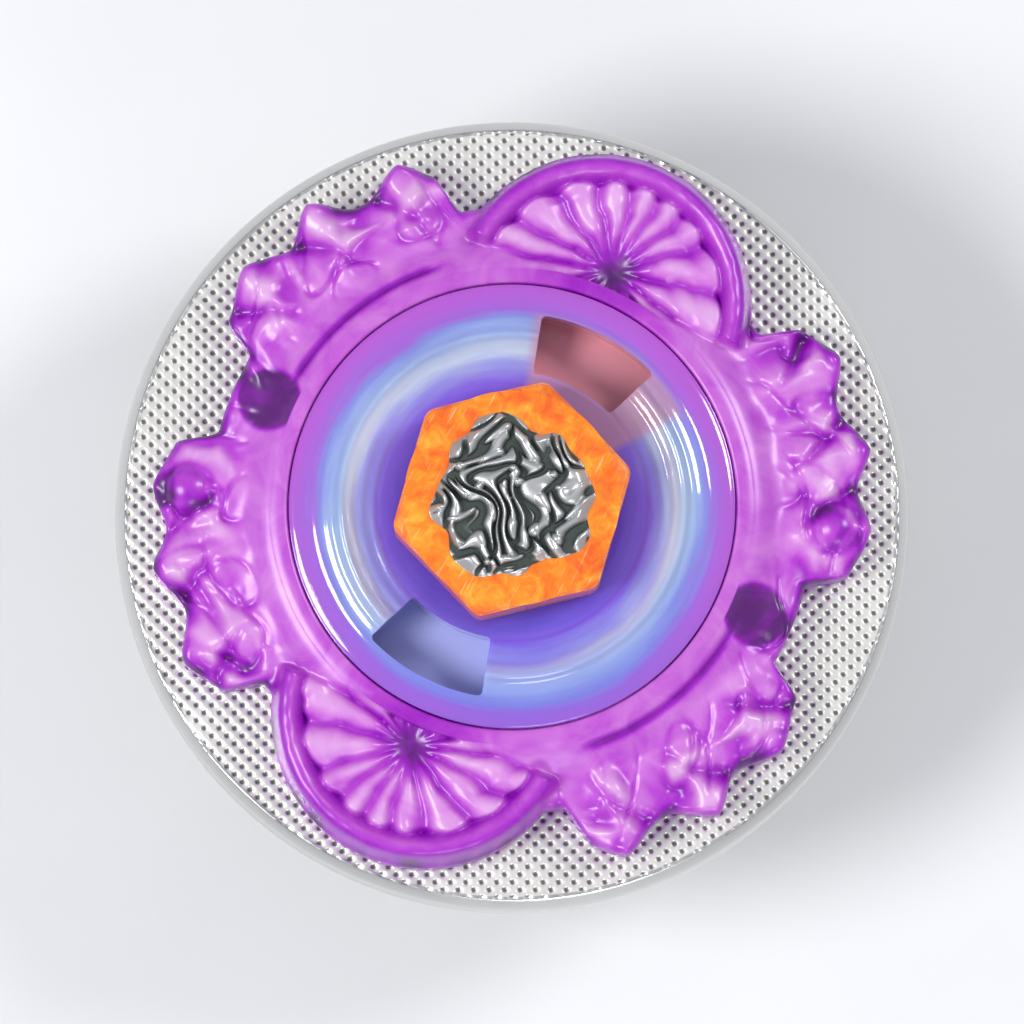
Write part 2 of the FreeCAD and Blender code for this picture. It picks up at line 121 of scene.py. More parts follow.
def skin(name, grid, joined=False, sharp=SHARP, more=(), **marks):
    """Object with the closed surface of a grid of points, given in millimetres.

    Columns run round and close. Rows close too if joined; otherwise each end is closed by
    a fan about the middle of its last row. If the volume comes out negative, every face is
    turned over. More grids become further closed shells of the same object, and marks are
    values for each point, kept as attributes.
    """
    points, faces, count = [], [], 0
    for shell in (grid, *more):
        rows, columns = shell.shape[:2]
        number = np.arange(rows * columns).reshape(rows, columns)
        ahead = np.roll(number, -1, axis=0) if joined else number[1:]
        here = number if joined else number[:-1]
        quads = np.stack(
            [here, np.roll(here, -1, axis=1), np.roll(ahead, -1, axis=1), ahead], axis=-1
        ).reshape(-1, 4)
        flat = shell.reshape(-1, 3)
        fans = np.zeros((0, 3), int)
        if not joined:
            first, last = number[0], number[-1]
            first_hub = rows * columns
            flat = np.vstack([flat, shell[0].mean(0), shell[-1].mean(0)])
            fans = np.vstack([
                np.stack([np.roll(first, -1), first, np.full(columns, first_hub)], axis=-1),
                np.stack([last, np.roll(last, -1), np.full(columns, first_hub + 1)], axis=-1),
            ])
        corners = np.vstack([quads[:, :3], quads[:, [0, 2, 3]], fans])
        a, b, c = (flat[corners[:, k]] for k in range(3))
        if np.einsum("ij,ij->", a, np.cross(b, c)) < 0:
            quads, fans = quads[:, ::-1], fans[:, ::-1]
        faces += (quads + count).tolist() + (fans + count).tolist()
        points.append(flat)
        count += len(flat)
    mesh = bpy.data.meshes.new(name)
    mesh.from_pydata((np.vstack(points) * MM).tolist(), [], faces)
    for label, values in marks.items():
        filled = np.full(count, values.mean())
        filled[: values.size] = values.ravel()
        mark = mesh.attributes.new(label, "FLOAT", "POINT")
        mark.data.foreach_set("value", filled.astype(np.float32))
    mesh.shade_smooth()
    mesh.set_sharp_from_angle(angle=math.radians(sharp))
    made = bpy.data.objects.new(name, mesh)
    bpy.context.scene.collection.objects.link(made)
    return made


def add(tree, kind, sockets=(), **settings):
    """New node; sockets gives each input a value or the output that it is linked to."""
    node = tree.nodes.new("ShaderNode" + kind)
    for label, value in settings.items():
        setattr(node, label, value)
    for label, value in dict(sockets).items():
        if isinstance(value, bpy.types.NodeSocket):
            tree.links.new(value, node.inputs[label])
        else:
            node.inputs[label].default_value = value
    return node


def reckon(tree, operation, first, second=0.0, third=0.0):
    """Output of a Math node."""
    return add(tree, "Math", {0: first, 1: second, 2: third}, operation=operation).outputs[0]


def between(tree, share, low, high):
    """Colour that runs from low to high with the share."""
    mix = add(tree, "Mix", {0: share}, data_type="RGBA")
    for socket, value in ((mix.inputs[6], low), (mix.inputs[7], high)):
        if isinstance(value, bpy.types.NodeSocket):
            tree.links.new(value, socket)
        else:
            socket.default_value = (*value, 1.0)
    return mix.outputs[2]


def spread(tree, share, low, high):
    """Number that runs from low to high as the share runs from 0 to 1."""
    return add(tree, "MapRange", {0: share, 3: low, 4: high}).outputs[0]


def vector(tree, operation, first, second=(0.0, 0.0, 0.0), scale=1.0):
    """Output of a Vector Math node: its number for a distance, or else its vector."""
    sockets = {0: first, 1: second, 3: scale}
    outputs = add(tree, "VectorMath", sockets, operation=operation).outputs
    return outputs[1 if operation == "DISTANCE" else 0]


def rise(tree, value, start, end, high=1.0):
    """Number that runs from 0 to its highest as the value runs from start to end."""
    return add(tree, "MapRange", {0: value, 1: start, 2: end, 4: high}).outputs[0]


def noise(tree, scale, detail, over=None, **more):
    """Cloudy noise from 0 to 1 over the piece's own place, or over another vector."""
    if over is None:
        over = add(tree, "TexCoord").outputs["Object"]
    sockets = {"Vector": over, "Scale": scale, "Detail": detail, **more}
    return add(tree, "TexNoise", sockets).outputs[0]


def about_axis(tree):
    """A point's place as a vector, its x, y and z, and its distance from the spin axis.

    The distance is the root of x squared plus y squared. All are in metres.
    """
    place = add(tree, "TexCoord").outputs["Object"]
    xyz = add(tree, "SeparateXYZ", {0: place}).outputs
    squares = [reckon(tree, "POWER", xyz[k], 2.0) for k in (0, 1)]
    return place, xyz, reckon(tree, "SQRT", reckon(tree, "ADD", *squares))


def hue(red, green, blue):
    """Linear colour of three sRGB values out of 255."""
    c = np.array([red, green, blue]) / 255
    return tuple(np.where(c <= 0.04045, c / 12.92, ((c + 0.055) / 1.055) ** 2.4).tolist())


def effect(name, inputs, outputs):
    """Empty node group with float inputs and outputs, and its two end nodes."""
    tree = bpy.data.node_groups.new(name, "ShaderNodeTree")
    for label, value in inputs.items():
        socket = tree.interface.new_socket(label, in_out="INPUT", socket_type="NodeSocketFloat")
        socket.default_value = value
    for label in outputs:
        tree.interface.new_socket(label, in_out="OUTPUT", socket_type="NodeSocketFloat")
    return tree, tree.nodes.new("NodeGroupInput").outputs, tree.nodes.new("NodeGroupOutput").inputs


def lathe_marks():
    """Group: fine rings that a cutting tool leaves, from noise over radius and height."""
    tree, given, out = effect("lathe marks", {"Fineness": 9000.0}, ["Height", "Shade"])
    place, xyz, radius = about_axis(tree)
    section = add(tree, "CombineXYZ", {0: radius, 1: xyz[2]}).outputs[0]
    rings = noise(tree, given[0], 3.0, section)
    tree.links.new(rings, out[0])
    broad = reckon(tree, "MULTIPLY", noise(tree, 350.0, 4.0, place), 0.5)
    tree.links.new(reckon(tree, "MULTIPLY_ADD", rings, 0.5, broad), out[1])
    return tree


def handling():
    """Group: hairline scratches in three directions and soft finger marks."""
    tree, given, out = effect("handling", {"Amount": 0.5}, ["Scratches", "Smears"])
    place = add(tree, "TexCoord").outputs["Object"]
    lines = 0.0
    for turn in (0.4, 1.7, 2.6):
        laid = add(tree, "Mapping", {
            "Vector": place, "Rotation": (turn / 3, 0, turn), "Scale": (1.0, 0.06, 0.4)})
        grain = noise(tree, 5200.0, 2.0, laid.outputs[0])
        lines = reckon(tree, "MAXIMUM", rise(tree, grain, 0.68, 0.74), lines)
    tree.links.new(reckon(tree, "MULTIPLY", lines, given[0]), out[0])
    tree.links.new(noise(tree, 260.0, 5.0, place, Distortion=0.6), out[1])
    return tree


EFFECTS = {"lathe marks": lathe_marks(), "handling": handling()}


def placed(tree, name, **values):
    """Outputs of an effect placed in a material with its own values."""
    node = tree.nodes.new("ShaderNodeGroup")
    node.node_tree = EFFECTS[name]
    for label, value in values.items():
        node.inputs[label].default_value = value
    return node.outputs


def finish_of(name, **values):
    """New material with one Principled shader; a value is set on the socket it names."""
    material = bpy.data.materials.new(name)
    material.use_nodes = True
    shader = material.node_tree.nodes["Principled BSDF"]
    for label, value in values.items():
        socket = shader.inputs[label.replace("_", " ")]
        socket.default_value = (*value, 1.0) if isinstance(value, tuple) else value
    return material, material.node_tree, shader.inputs


def relief(tree, shader, height, depth):
    """Bump of a height from 0 to 1 that is so many millimetres deep."""
    bump = add(tree, "Bump", {"Height": height, "Strength": 1.0, "Distance": depth * MM})
    tree.links.new(bump.outputs[0], shader["Normal"])


def dress(piece, material):
    """Gives a piece its one material."""
    piece.data.materials.clear()
    piece.data.materials.append(material)
    return piece


def bare_metal(name, colour, roughness, fineness, depth):
    """Cut metal: rings from the tool, duller and brighter patches, hairline scratches."""
    material, tree, shader = finish_of(name, Metallic=1.0)
    marks = placed(tree, "lathe marks", Fineness=fineness)
    wear = placed(tree, "handling", Amount=0.8)
    dark = tuple(0.62 * c for c in colour)
    tree.links.new(between(tree, marks["Shade"], dark, colour), shader["Base Color"])
    rough = spread(tree, wear["Smears"], roughness * 0.6, roughness * 1.5)
    scored = reckon(tree, "MULTIPLY_ADD", wear["Scratches"], 0.2, rough)
    tree.links.new(scored, shader["Roughness"])
    relief(tree, shader, marks["Height"], depth)
    return material


plug_top = reach("tip")[1][2]
tip_outline = rounded([
    (0.4, 0.0), (1.95, 0.0), (2.2, 0.25), (2.6, 1.6), (3.2, 2.6), (3.9, 3.8), (4.18, 4.6),
    (4.18, 5.18), (3.18, 5.2), (3.18, plug_top - 0.3), (2.9, plug_top), (0.4, plug_top),
], (0.15, 0.2, 0.9, 0.6, 0.6, 0.5, 0.1, 0.1, 0.15, 0.15))
tip = skin("tip_steel", turned(evenly(tip_outline, 0.4), TIP_COLUMNS))
dress(tip, bare_metal("turned steel", hue(196, 198, 200), 0.26, 14000.0, 0.006))
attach(tip, "base")
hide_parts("tip")

# ------------------------------------------------------------------------- spin base
# Moulded base, copper and nickel plated to a mirror: a stepped neck for the tip, a deep
# round groove, and a flange with twelve teeth that key into the module above.
BASE_COLUMNS = 480
LEAD = 3.0
GROOVE_START = 10.85  # height of the thread's groove where it starts, at +X
GROOVE_HALVES = (0.85, 0.5)  # half its width at its mouth and at its floor
base_high = reach("spin_base")[1]
base_top = base_high[2]
tooth_r = base_high[0]
core_r = tooth_r - 0.8
TEETH = 12
TOOTH_HALF = 8.0
BORE_R = 3.65
BORE_GROOVE_R = 4.25
BORE_END = 10.0


def thread_share(angle, height, start, end, root_half, crest_half):
    """How far out a right-handed thread stands, from 0 to 1, at an angle and a height.

    The thread's middle climbs by the lead in each turn. Its section is a trapezium, so the
    share falls from 1 to 0 as the distance from that middle runs between the two halves.
    """
    climbed = (height - start - LEAD * angle / TURN) / LEAD
    off = np.abs(climbed - np.round(climbed)) * LEAD
    share = np.clip((root_half - off) / (root_half - crest_half), 0, 1)
    return share * ease((height - start) / 0.8) * ease((end - height) / 0.8)


angle = np.arange(BASE_COLUMNS) * TURN / BASE_COLUMNS
under = evenly(rounded([
    (0.5, 9.02), (3.22, 9.02), (3.22, 5.22), (4.2, 5.22), (4.6, 9.0), (5.4, 9.5), (5.5, 10.5),
    (5.5, 15.4), (6.6, 15.4), (6.6, 13.2), (core_r, 13.2), (core_r, 13.6),
], (0.1, 0.05, 0.12, 0.5, 0.4, 0.6, 0.3, 0.3, 0.25, 0.2)), 0.45)
tooth_off = np.abs((angle + TURN / TEETH / 2) % (TURN / TEETH) - TURN / TEETH / 2)
flange_r = core_r + (tooth_r - core_r) * ease((TOOTH_HALF + 0.8 - tooth_off) / 1.6)
# each row of a tooth: its share of the way out from the core to the tip, and its height
tooth = np.array([
    (0.8, 13.61), (0.97, 13.66), (1, 13.8), (1, 15.2), (1, 16.6), (1, base_top - 0.25)])
edge = np.array([(0.03, base_top - 0.12), (0.12, base_top - 0.03), (0.25, base_top)])
land = np.array([(r, base_top) for r in (7.6, 6.4, 5.2, 4.45)])
bore_z = np.arange(base_top - 0.05, BORE_END + 0.05, -0.11)[:, None]
groove = thread_share(angle, bore_z, GROOVE_START, base_top + 0.6, *GROOVE_HALVES)
base = skin("plated_spin_base", np.vstack([
    turned(under, BASE_COLUMNS),
    round_axis(core_r + tooth[:, :1] * (flange_r - core_r), tooth[:, 1:], angle),
    round_axis(flange_r - edge[:, :1], edge[:, 1:], angle),
    turned(land, BASE_COLUMNS),
    round_axis(BORE_R + (BORE_GROOVE_R - BORE_R) * groove, bore_z, angle),
    turned(np.array([(3.4, BORE_END), (0.5, BORE_END)]), BASE_COLUMNS),
]))


def plating(name, colour, roughness, depth):
    """Bright plating on a moulded part: a mirror with a faint orange-peel and hairlines."""
    material, tree, shader = finish_of(name, Metallic=1.0, Coat_Weight=0.2)
    wear = placed(tree, "handling", Amount=0.6)
    dark = tuple(0.75 * c for c in colour)
    tree.links.new(between(tree, wear["Smears"], dark, colour), shader["Base Color"])
    rough = reckon(tree, "MULTIPLY_ADD", wear["Scratches"], 0.25,
                   spread(tree, wear["Smears"], roughness * 0.5, roughness * 1.8))
    tree.links.new(rough, shader["Roughness"])
    relief(tree, shader, noise(tree, 700.0, 2.0), depth)
    return material


dress(base, plating("bright plating", hue(236, 238, 241), 0.05, 0.02))
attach(base, "base")
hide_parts("spin_base")

# ----------------------------------------------------------------------- metal wheel
# The heavy die-cast wheel: its top is knurled with small pits in slanting rows, the rim is
# turned smooth, and the underside has six pockets. Two holes go right through it.
WHEEL_COLUMNS = 840
PIT_PITCH = 0.82
PIT_ROWS_ANGLE = 73.0  # the rows of pits lie at this angle and square to it
PIT_DEPTH = 0.13
PIT_R = 0.24
PITS_FROM = 20.6  # the seat under the see-through ring is plain inside this radius
RIM_FROM = 28.95  # the rim is turned smooth outside this radius
POCKET_IN_R = 19.2
POCKET_OUT_R = 26.6
POCKET_DEPTH = 4.0
POCKET_ANGLE = 34.0
POCKET_HALF = 21.2
DRAFT = 0.18
PEEP_RING_R = 19.9
PEEP_R = 2.4
PEEP_ANGLE = 184.0
FAN_ANGLE = 95.0
PEG_RING_R = 21.5
PEG_R = 1.4
PEG_PLAY = 0.15  # a peg's hole is this much wider than the peg, all round
KNURL_STEP = 0.165


def pitted(x, y):
    """Depth share of the nearest pit, a bell curve of the distance from its centre.

    The centres are the crossings of a square net: the place is divided by the pitch along
    the net's two directions, and the distance to the nearest whole numbers is taken.
    """
    lean = math.radians(PIT_ROWS_ANGLE)
    u = (x * math.cos(lean) + y * math.sin(lean)) / PIT_PITCH
    v = (y * math.cos(lean) - x * math.sin(lean)) / PIT_PITCH
    off = np.hypot(u - np.round(u), v - np.round(v)) * PIT_PITCH
    return np.exp(-((off / PIT_R) ** 2))


def cut_out(piece, cutter):
    """Takes the cutter's volume away from the piece, by a Boolean that is then applied."""
    hole = piece.modifiers.new("hole", "BOOLEAN")
    hole.operation, hole.solver, hole.object = "DIFFERENCE", "EXACT", cutter
    bpy.context.view_layer.update()
    solid = bpy.data.meshes.new_from_object(
        piece.evaluated_get(bpy.context.evaluated_depsgraph_get()))
    piece.modifiers.clear()
    piece.data = solid
    bpy.data.objects.remove(cutter)
    solid.shade_smooth()
    solid.set_sharp_from_angle(angle=math.radians(SHARP))


def drill(radius, low, high, ring_r, ring_angle, columns=72):
    """Upright round bar between two heights, standing on a ring about the spin axis."""
    bar = turned(np.array([(0.05, low), (radius, low), (radius, high), (0.05, high)]), columns)
    return bar + round_axis(ring_r, 0.0, ring_angle)


wheel_floor, wheel_top = (corner[2] for corner in reach("metal_wheel"))
angle = np.arange(WHEEL_COLUMNS) * TURN / WHEEL_COLUMNS
seat = rounded([
    (19.0, wheel_floor), (16.5, wheel_floor), (16.5, wheel_top), (PITS_FROM - 0.4, wheel_top)], 0.25)
knurl = evenly(np.array([(PITS_FROM, wheel_top), (RIM_FROM - 0.1, wheel_top)]), KNURL_STEP)
rim = evenly(rounded([
    (RIM_FROM, wheel_top), (29.2, wheel_top), (30.0, 24.1), (30.0, 20.2), (29.6, 19.3),
    (28.8, 18.7), (27.6, wheel_floor), (27.0, wheel_floor),
], (0.2, 0.35, 0.5, 0.3, 0.3, 0.3)), 1.1)
below = np.array([
    POCKET_OUT_R, POCKET_OUT_R - DRAFT, 25.9, 24.6, 23.2, 21.8, 20.4, 19.8, POCKET_IN_R + DRAFT,
    POCKET_IN_R])
profile = np.vstack([
    seat, knurl, rim, np.stack([below, np.full(len(below), wheel_floor)], axis=-1)])
grid = turned(profile, WHEEL_COLUMNS)
on_knurl = (profile[:, 0] > PITS_FROM - 0.01) & (profile[:, 1] > wheel_top - 0.01)
grid[on_knurl, :, 2] -= PIT_DEPTH * pitted(grid[on_knurl, :, 0], grid[on_knurl, :, 1])
sixth = TURN / 6
pocket_off = np.abs((angle - POCKET_ANGLE + sixth / 2) % sixth - sixth / 2)
pocket = np.clip((POCKET_HALF - pocket_off) / 0.5, 0, 1)
under_face = profile[:, 1] < wheel_floor + 0.01
deep = np.clip(np.minimum(profile[:, 0] - POCKET_IN_R, POCKET_OUT_R - profile[:, 0]) / DRAFT, 0, 1)
grid[..., 2] += (under_face * deep)[:, None] * pocket * POCKET_DEPTH
wheel = skin("knurled_wheel", grid, joined=True)
bars = [
    drill(radius, low, 27.0, ring_r, middle + half)
    for radius, low, ring_r, middle in (
        (PEEP_R, 15.0, PEEP_RING_R, PEEP_ANGLE), (PEG_R + PEG_PLAY, 22.8, PEG_RING_R, FAN_ANGLE))
    for half in (0.0, TURN / 2)]
cut_out(wheel, skin("cutter", bars[0], more=bars[1:]))


def cast_alloy():
    """Pale cast alloy: darker pits, satin between, a bare metal rim."""
    material, tree, shader = finish_of("knurled alloy")
    place, xyz, radius = about_axis(tree)
    turn = add(tree, "VectorRotate", {"Vector": place, "Angle": math.radians(-PIT_ROWS_ANGLE)},
               rotation_type="Z_AXIS").outputs[0]
    net = vector(tree, "SCALE", turn, scale=1 / (PIT_PITCH * MM))
    flat = vector(tree, "MULTIPLY", net, (1.0, 1.0, 0.0))
    near = vector(tree, "FLOOR", vector(tree, "ADD", flat, (0.5, 0.5, 0.5)))
    pit = rise(tree, vector(tree, "DISTANCE", flat, near), 0.3, 0.14)
    for kept in (reckon(tree, "GREATER_THAN", radius, (PITS_FROM - 0.2) * MM),
                 reckon(tree, "LESS_THAN", radius, RIM_FROM * MM),
                 reckon(tree, "GREATER_THAN", xyz[2], (wheel_top - 0.3) * MM)):
        pit = reckon(tree, "MULTIPLY", pit, kept)
    marks = placed(tree, "lathe marks", Fineness=7000.0)
    wear = placed(tree, "handling", Amount=0.5)
    broad = between(tree, wear["Smears"], hue(232, 230, 221), hue(246, 246, 240))
    turned_rim = reckon(tree, "GREATER_THAN", radius, RIM_FROM * MM)
    broad = between(tree, turned_rim, broad, hue(214, 214, 211))
    tree.links.new(spread(tree, turned_rim, 0.7, 1.0), shader["Metallic"])
    tree.links.new(between(tree, pit, broad, hue(96, 100, 92)), shader["Base Color"])
    rough = reckon(tree, "MULTIPLY_ADD", wear["Scratches"], 0.2,
                   spread(tree, wear["Smears"], 0.24, 0.38))
    tree.links.new(reckon(tree, "MULTIPLY_ADD", pit, 0.25, rough), shader["Roughness"])
    height = reckon(tree, "SUBTRACT", reckon(tree, "MULTIPLY", marks["Height"], 0.2), pit)
    relief(tree, shader, height, 0.06)
    return material


dress(wheel, cast_alloy())
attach(wheel, "wheel")
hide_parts("metal_wheel")

# -------------------------------------------------------- module housing and its screws
# The lower shell of the light module fills the wheel's bore: black ABS from a mould, with a
# lightly sparked surface. Three cross-head screws of plain steel close it from below.


def softened(node, width):
    """Breaks the sharp edges of a CAD node by a width: weld, merge flat faces, bevel."""
    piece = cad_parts[node]
    weld = piece.modifiers.new("weld", "WELD")
    weld.merge_threshold = 0.002 * MM
    flat = piece.modifiers.new("flat faces", "DECIMATE")
    flat.decimate_type, flat.angle_limit = "DISSOLVE", math.radians(0.5)
    edge = piece.modifiers.new("broken edges", "BEVEL")
    edge.width, edge.segments, edge.angle_limit = width * MM, 2, math.radians(35)
    edge.use_clamp_overlap = True
    even = piece.modifiers.new("even shading", "WEIGHTED_NORMAL")
    even.keep_sharp = False
    return piece


def moulded(name, colour, roughness, grain, depth):
    """Moulded plastic: faint flow mottle in the colour, a sparked grain, hairline scuffs."""
    material, tree, shader = finish_of(name)
    wear = placed(tree, "handling", Amount=0.7)
    pale = tuple(min(1.0, 1.18 * c + 0.012) for c in colour)
    body = between(tree, wear["Smears"], tuple(0.86 * c for c in colour), pale)
    scuffed = tuple(0.6 * c + 0.18 for c in colour)
    scuff = reckon(tree, "MULTIPLY", wear["Scratches"], 0.35)
    tree.links.new(between(tree, scuff, body, scuffed), shader["Base Color"])
    tree.links.new(spread(tree, wear["Smears"], roughness * 0.75, roughness * 1.25),
                   shader["Roughness"])
    relief(tree, shader, noise(tree, grain, 3.0), depth)
    return material


dress(softened("module_housing", 0.12), moulded("black ABS", hue(38, 38, 42), 0.42, 9000.0, 0.03))
dress(softened("module_screws", 0.05), bare_metal(
    "screw steel", hue(188, 188, 192), 0.3, 20000.0, 0.004))

# ------------------------------------------------------------- inside the light module
# A ring-shaped board over three button cells carries four lamps, the flasher chip, four
# chip resistors and the centrifugal switch: a brass weight that flies out when it spins.
TRACK_PITCH = 1.3
LAMP_DIE_Z = 24.5
LAMP_DOME_Z = 26.6


def solder_mask():
    """Green lacquer over a ring-shaped board, with raised copper tracks and bare pads.

    The tracks are rings about the axis joined by spokes, from whole parts of the radius
    and of the angle.
    """
    material, tree, shader = finish_of("green board", Coat_Weight=0.5, Coat_Roughness=0.12)
    place, xyz, radius = about_axis(tree)
    turn = reckon(tree, "ARCTAN2", xyz[1], xyz[0])
    steps_out = reckon(tree, "DIVIDE", radius, TRACK_PITCH * MM)
    ring = reckon(tree, "PINGPONG", steps_out, 0.5)
    shifted = reckon(tree, "MULTIPLY", reckon(tree, "FLOOR", steps_out), 0.37)
    spoke = reckon(tree, "PINGPONG", reckon(tree, "MULTIPLY_ADD", turn, 2.4, shifted), 0.5)
    broken = add(tree, "TexVoronoi", {"Vector": place, "Scale": 420.0}).outputs["Distance"]
    track = reckon(tree, "MAXIMUM", reckon(tree, "LESS_THAN", ring, 0.12), reckon(
        tree, "LESS_THAN", spoke, 0.02))
    track = reckon(tree, "MULTIPLY", track, reckon(tree, "GREATER_THAN", broken, 0.22))
    pad = reckon(tree, "LESS_THAN", broken, 0.13)
    lacquer = between(tree, track, hue(12, 74, 40), hue(38, 128, 66))
    tree.links.new(between(tree, pad, lacquer, hue(214, 204, 178)), shader["Base Color"])
    tree.links.new(spread(tree, pad, 0.35, 0.22), shader["Roughness"])
    tree.links.new(reckon(tree, "MULTIPLY", pad, 0.9), shader["Metallic"])
    relief(tree, shader, reckon(tree, "MAXIMUM", track, pad), 0.04)
    return material


def lamp_body(name, colour, glow):
    """Tinted epoxy of a lamp: see-through, with the lit die glowing in its middle height."""
    material, tree, shader = finish_of(
        name, Transmission_Weight=0.6, IOR=1.5, Emission_Strength=glow)
    place = add(tree, "TexCoord").outputs["Object"]
    cloud = noise(tree, 900.0, 2.0, place)
    pale = tuple(min(1.0, 0.6 * c + 0.4) for c in colour)
    tree.links.new(between(tree, cloud, colour, pale), shader["Base Color"])
    height = add(tree, "SeparateXYZ", {0: place}).outputs[2]
    lit = rise(tree, height, LAMP_DIE_Z * MM, LAMP_DOME_Z * MM)
    tree.links.new(between(tree, lit, (0, 0, 0), colour), shader["Emission Color"])
    tree.links.new(spread(tree, cloud, 0.12, 0.3), shader["Roughness"])
    return material


brass = bare_metal("pressed brass", hue(222, 184, 104), 0.28, 11000.0, 0.006)
dress(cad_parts["circuit_board"], solder_mask())
dress(softened("flasher_chip", 0.06), moulded("chip epoxy", hue(30, 30, 32), 0.6, 14000.0, 0.02))
dress(softened("resistors", 0.08), moulded("resistor glaze", hue(52, 46, 48), 0.3, 12000.0, 0.02))
dress(softened("cell_strips", 0.05), brass)
dress(softened("switch_contact", 0.06), brass)
dress(softened("switch_weight", 0.12), bare_metal(
    "turned brass", hue(226, 176, 92), 0.2, 16000.0, 0.008))
dress(softened("switch_frame", 0.08), moulded("white nylon", hue(232, 232, 226), 0.4, 8000.0, 0.02))
cell_can = bare_metal("cell can", hue(206, 208, 212), 0.24, 15000.0, 0.004)
for number in (1, 2, 3):
    dress(softened(f"button_cell_{number}", 0.06), cell_can)
lamps = {
    "blue": lamp_body("blue epoxy", hue(70, 120, 255), 1.5),
    "red": lamp_body("red epoxy", hue(255, 50, 60), 1.2),
}
for colour, epoxy in lamps.items():
    for number in (1, 2):
        dress(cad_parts[f"led_{colour}_{number}"], epoxy)

# --------------------------------------------------------------------- switch spring
# The switch's coil spring of drawn steel wire sits on the weight's pin, between the weight
# and the outer contact. The real one closes up when the weight flies out; this coil keeps
# its shape and moves with the wheel.
SWITCH_ANGLE = 150.0
SPRING_R = 0.85
WIRE_R = 0.15
SPRING_TURNS = 4
SPRING_IN_R = 9.85  # distances from the spin axis of the middle of the end turns
SPRING_OUT_R = 13.15
SWITCH_Z = 26.1


def coil(turns, radius, start, end, wire, steps=28, sides=12):
    """Grid of a round wire wound about the line that runs out from the spin axis.

    The wire's middle is start + t (end - start) along the line and the radius away from
    it, turned by t times the turns; its section is a circle in the plane of the outward
    direction and the line.
    """
    t = np.linspace(0, 1, turns * steps + 1)[:, None]
    turn = 2 * np.pi * turns * t
    side = np.arange(sides) * 2 * np.pi / sides
    out = radius + wire * np.cos(side)
    along = start + t * (end - start) + wire * np.sin(side)
    return np.stack([along, out * np.cos(turn), out * np.sin(turn)], axis=-1)


def at_switch(grid):
    """The grid turned from +X to the switch's direction and lifted to its height."""
    lean = math.radians(SWITCH_ANGLE)
    x, y, z = np.moveaxis(grid, -1, 0)
    return np.stack([
        x * math.cos(lean) - y * math.sin(lean), x * math.sin(lean) + y * math.cos(lean),
        z + SWITCH_Z], axis=-1)


spring = skin("switch_coil_spring", at_switch(
    coil(SPRING_TURNS, SPRING_R, SPRING_IN_R, SPRING_OUT_R, WIRE_R)))
dress(spring, bare_metal("drawn wire", hue(198, 200, 204), 0.22, 18000.0, 0.003))
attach(spring, "wheel")
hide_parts("switch_spring")
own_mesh(spring)

# --------------------------------------------------------------------- module cover
# The clear upper shell of the module: thin moulded polystyrene, frosted on its roof so that
# the lamps light the ring evenly. Its two sunken bays are coloured, one pink and one blue.
BAY_R = 15.2
BAY_TOP_Z = 28.3
ROOF_Z = 28.9


def clear_plastic():
    """Clear plastic: near colourless, glossy, with a softly frosted roof."""
    material, tree, shader = finish_of("clear polystyrene", Transmission_Weight=0.3, IOR=1.46)
    place, xyz, radius = about_axis(tree)
    wear = placed(tree, "handling", Amount=0.8)
    clear = between(tree, wear["Smears"], hue(226, 236, 246), hue(246, 250, 253))
    one_side = rise(tree, xyz[1], -1.0 * MM, 1.0 * MM)
    bay_colours = between(tree, one_side, hue(196, 202, 255), hue(250, 172, 186))
    sunken = rise(tree, xyz[2], BAY_TOP_Z * MM, (BAY_TOP_Z - 0.2) * MM)
    bay = reckon(tree, "MULTIPLY", sunken, reckon(tree, "LESS_THAN", radius, BAY_R * MM))
    tree.links.new(between(tree, bay, clear, bay_colours), shader["Base Color"])
    roof = rise(tree, xyz[2], ROOF_Z * MM, (ROOF_Z + 0.25) * MM)
    frost = reckon(tree, "MULTIPLY_ADD", roof, 0.12, 0.06)
    tree.links.new(reckon(tree, "MULTIPLY_ADD", wear["Scratches"], 0.2, frost),
                   shader["Roughness"])
    relief(tree, shader, noise(tree, 500.0, 2.0, place), 0.02)
    return material


dress(softened("module_cover", 0.1), clear_plastic())

# -------------------------------------------------------------------- see-through ring
# The sculpted ring that strikes the other top: violet polycarbonate, moulded in one shot.
# Each half turn has a fluted fan and two crinkled crests; two pegs key it to the wheel.
RING_COLUMNS = 900
RING_ROWS = 76
FAN_CENTRE_R = 16.8
FAN_R = 11.5
FAN_ROOT = 2.6  # the flutes meet at a point this far outside the fan's centre
FLUTE_ANGLE = 23.0
FLUTE_END_R = 9.0
BAND_R = 10.2
BAND_HALF = 1.3
HIGHEST = 31.15
VALLEY_R = 22.8
CREST_R = 25.7
CREST_EDGE = 4.0
# each crest: start and end of its shelf, then (angle, width, extra reach) of its lumps
CRESTS = (
    (127.5, 178.0, ((136.5, 7.0, 1.7), (152.0, 7.0, 2.0), (166.0, 8.5, 1.5))),
    (193.0, 243.5, ((204.5, 9.0, 1.3), (217.5, 7.5, 1.6), (233.0, 7.5, 1.5))),
)
BEAD_ANGLE = 204.5
BEAD_RING_R = 24.3
BEAD_R = 1.9
COLLAR_R = 18.2
COLLAR_TOP = 30.6
RABBET_R = 16.82
RING_BORE_R = 16.14
LENS_SEAT = 29.4
RING_FOOT = 25.04


def lump_share(angle, middle, width):
    """Hump about a middle angle, 0 outside its width: part squared cosine, part point."""
    off = np.clip(np.abs(angle - middle) / width, 0, 1)
    return 0.6 * np.cos(np.pi / 2 * off) ** 2 + 0.4 * (1 - off) ** 1.5


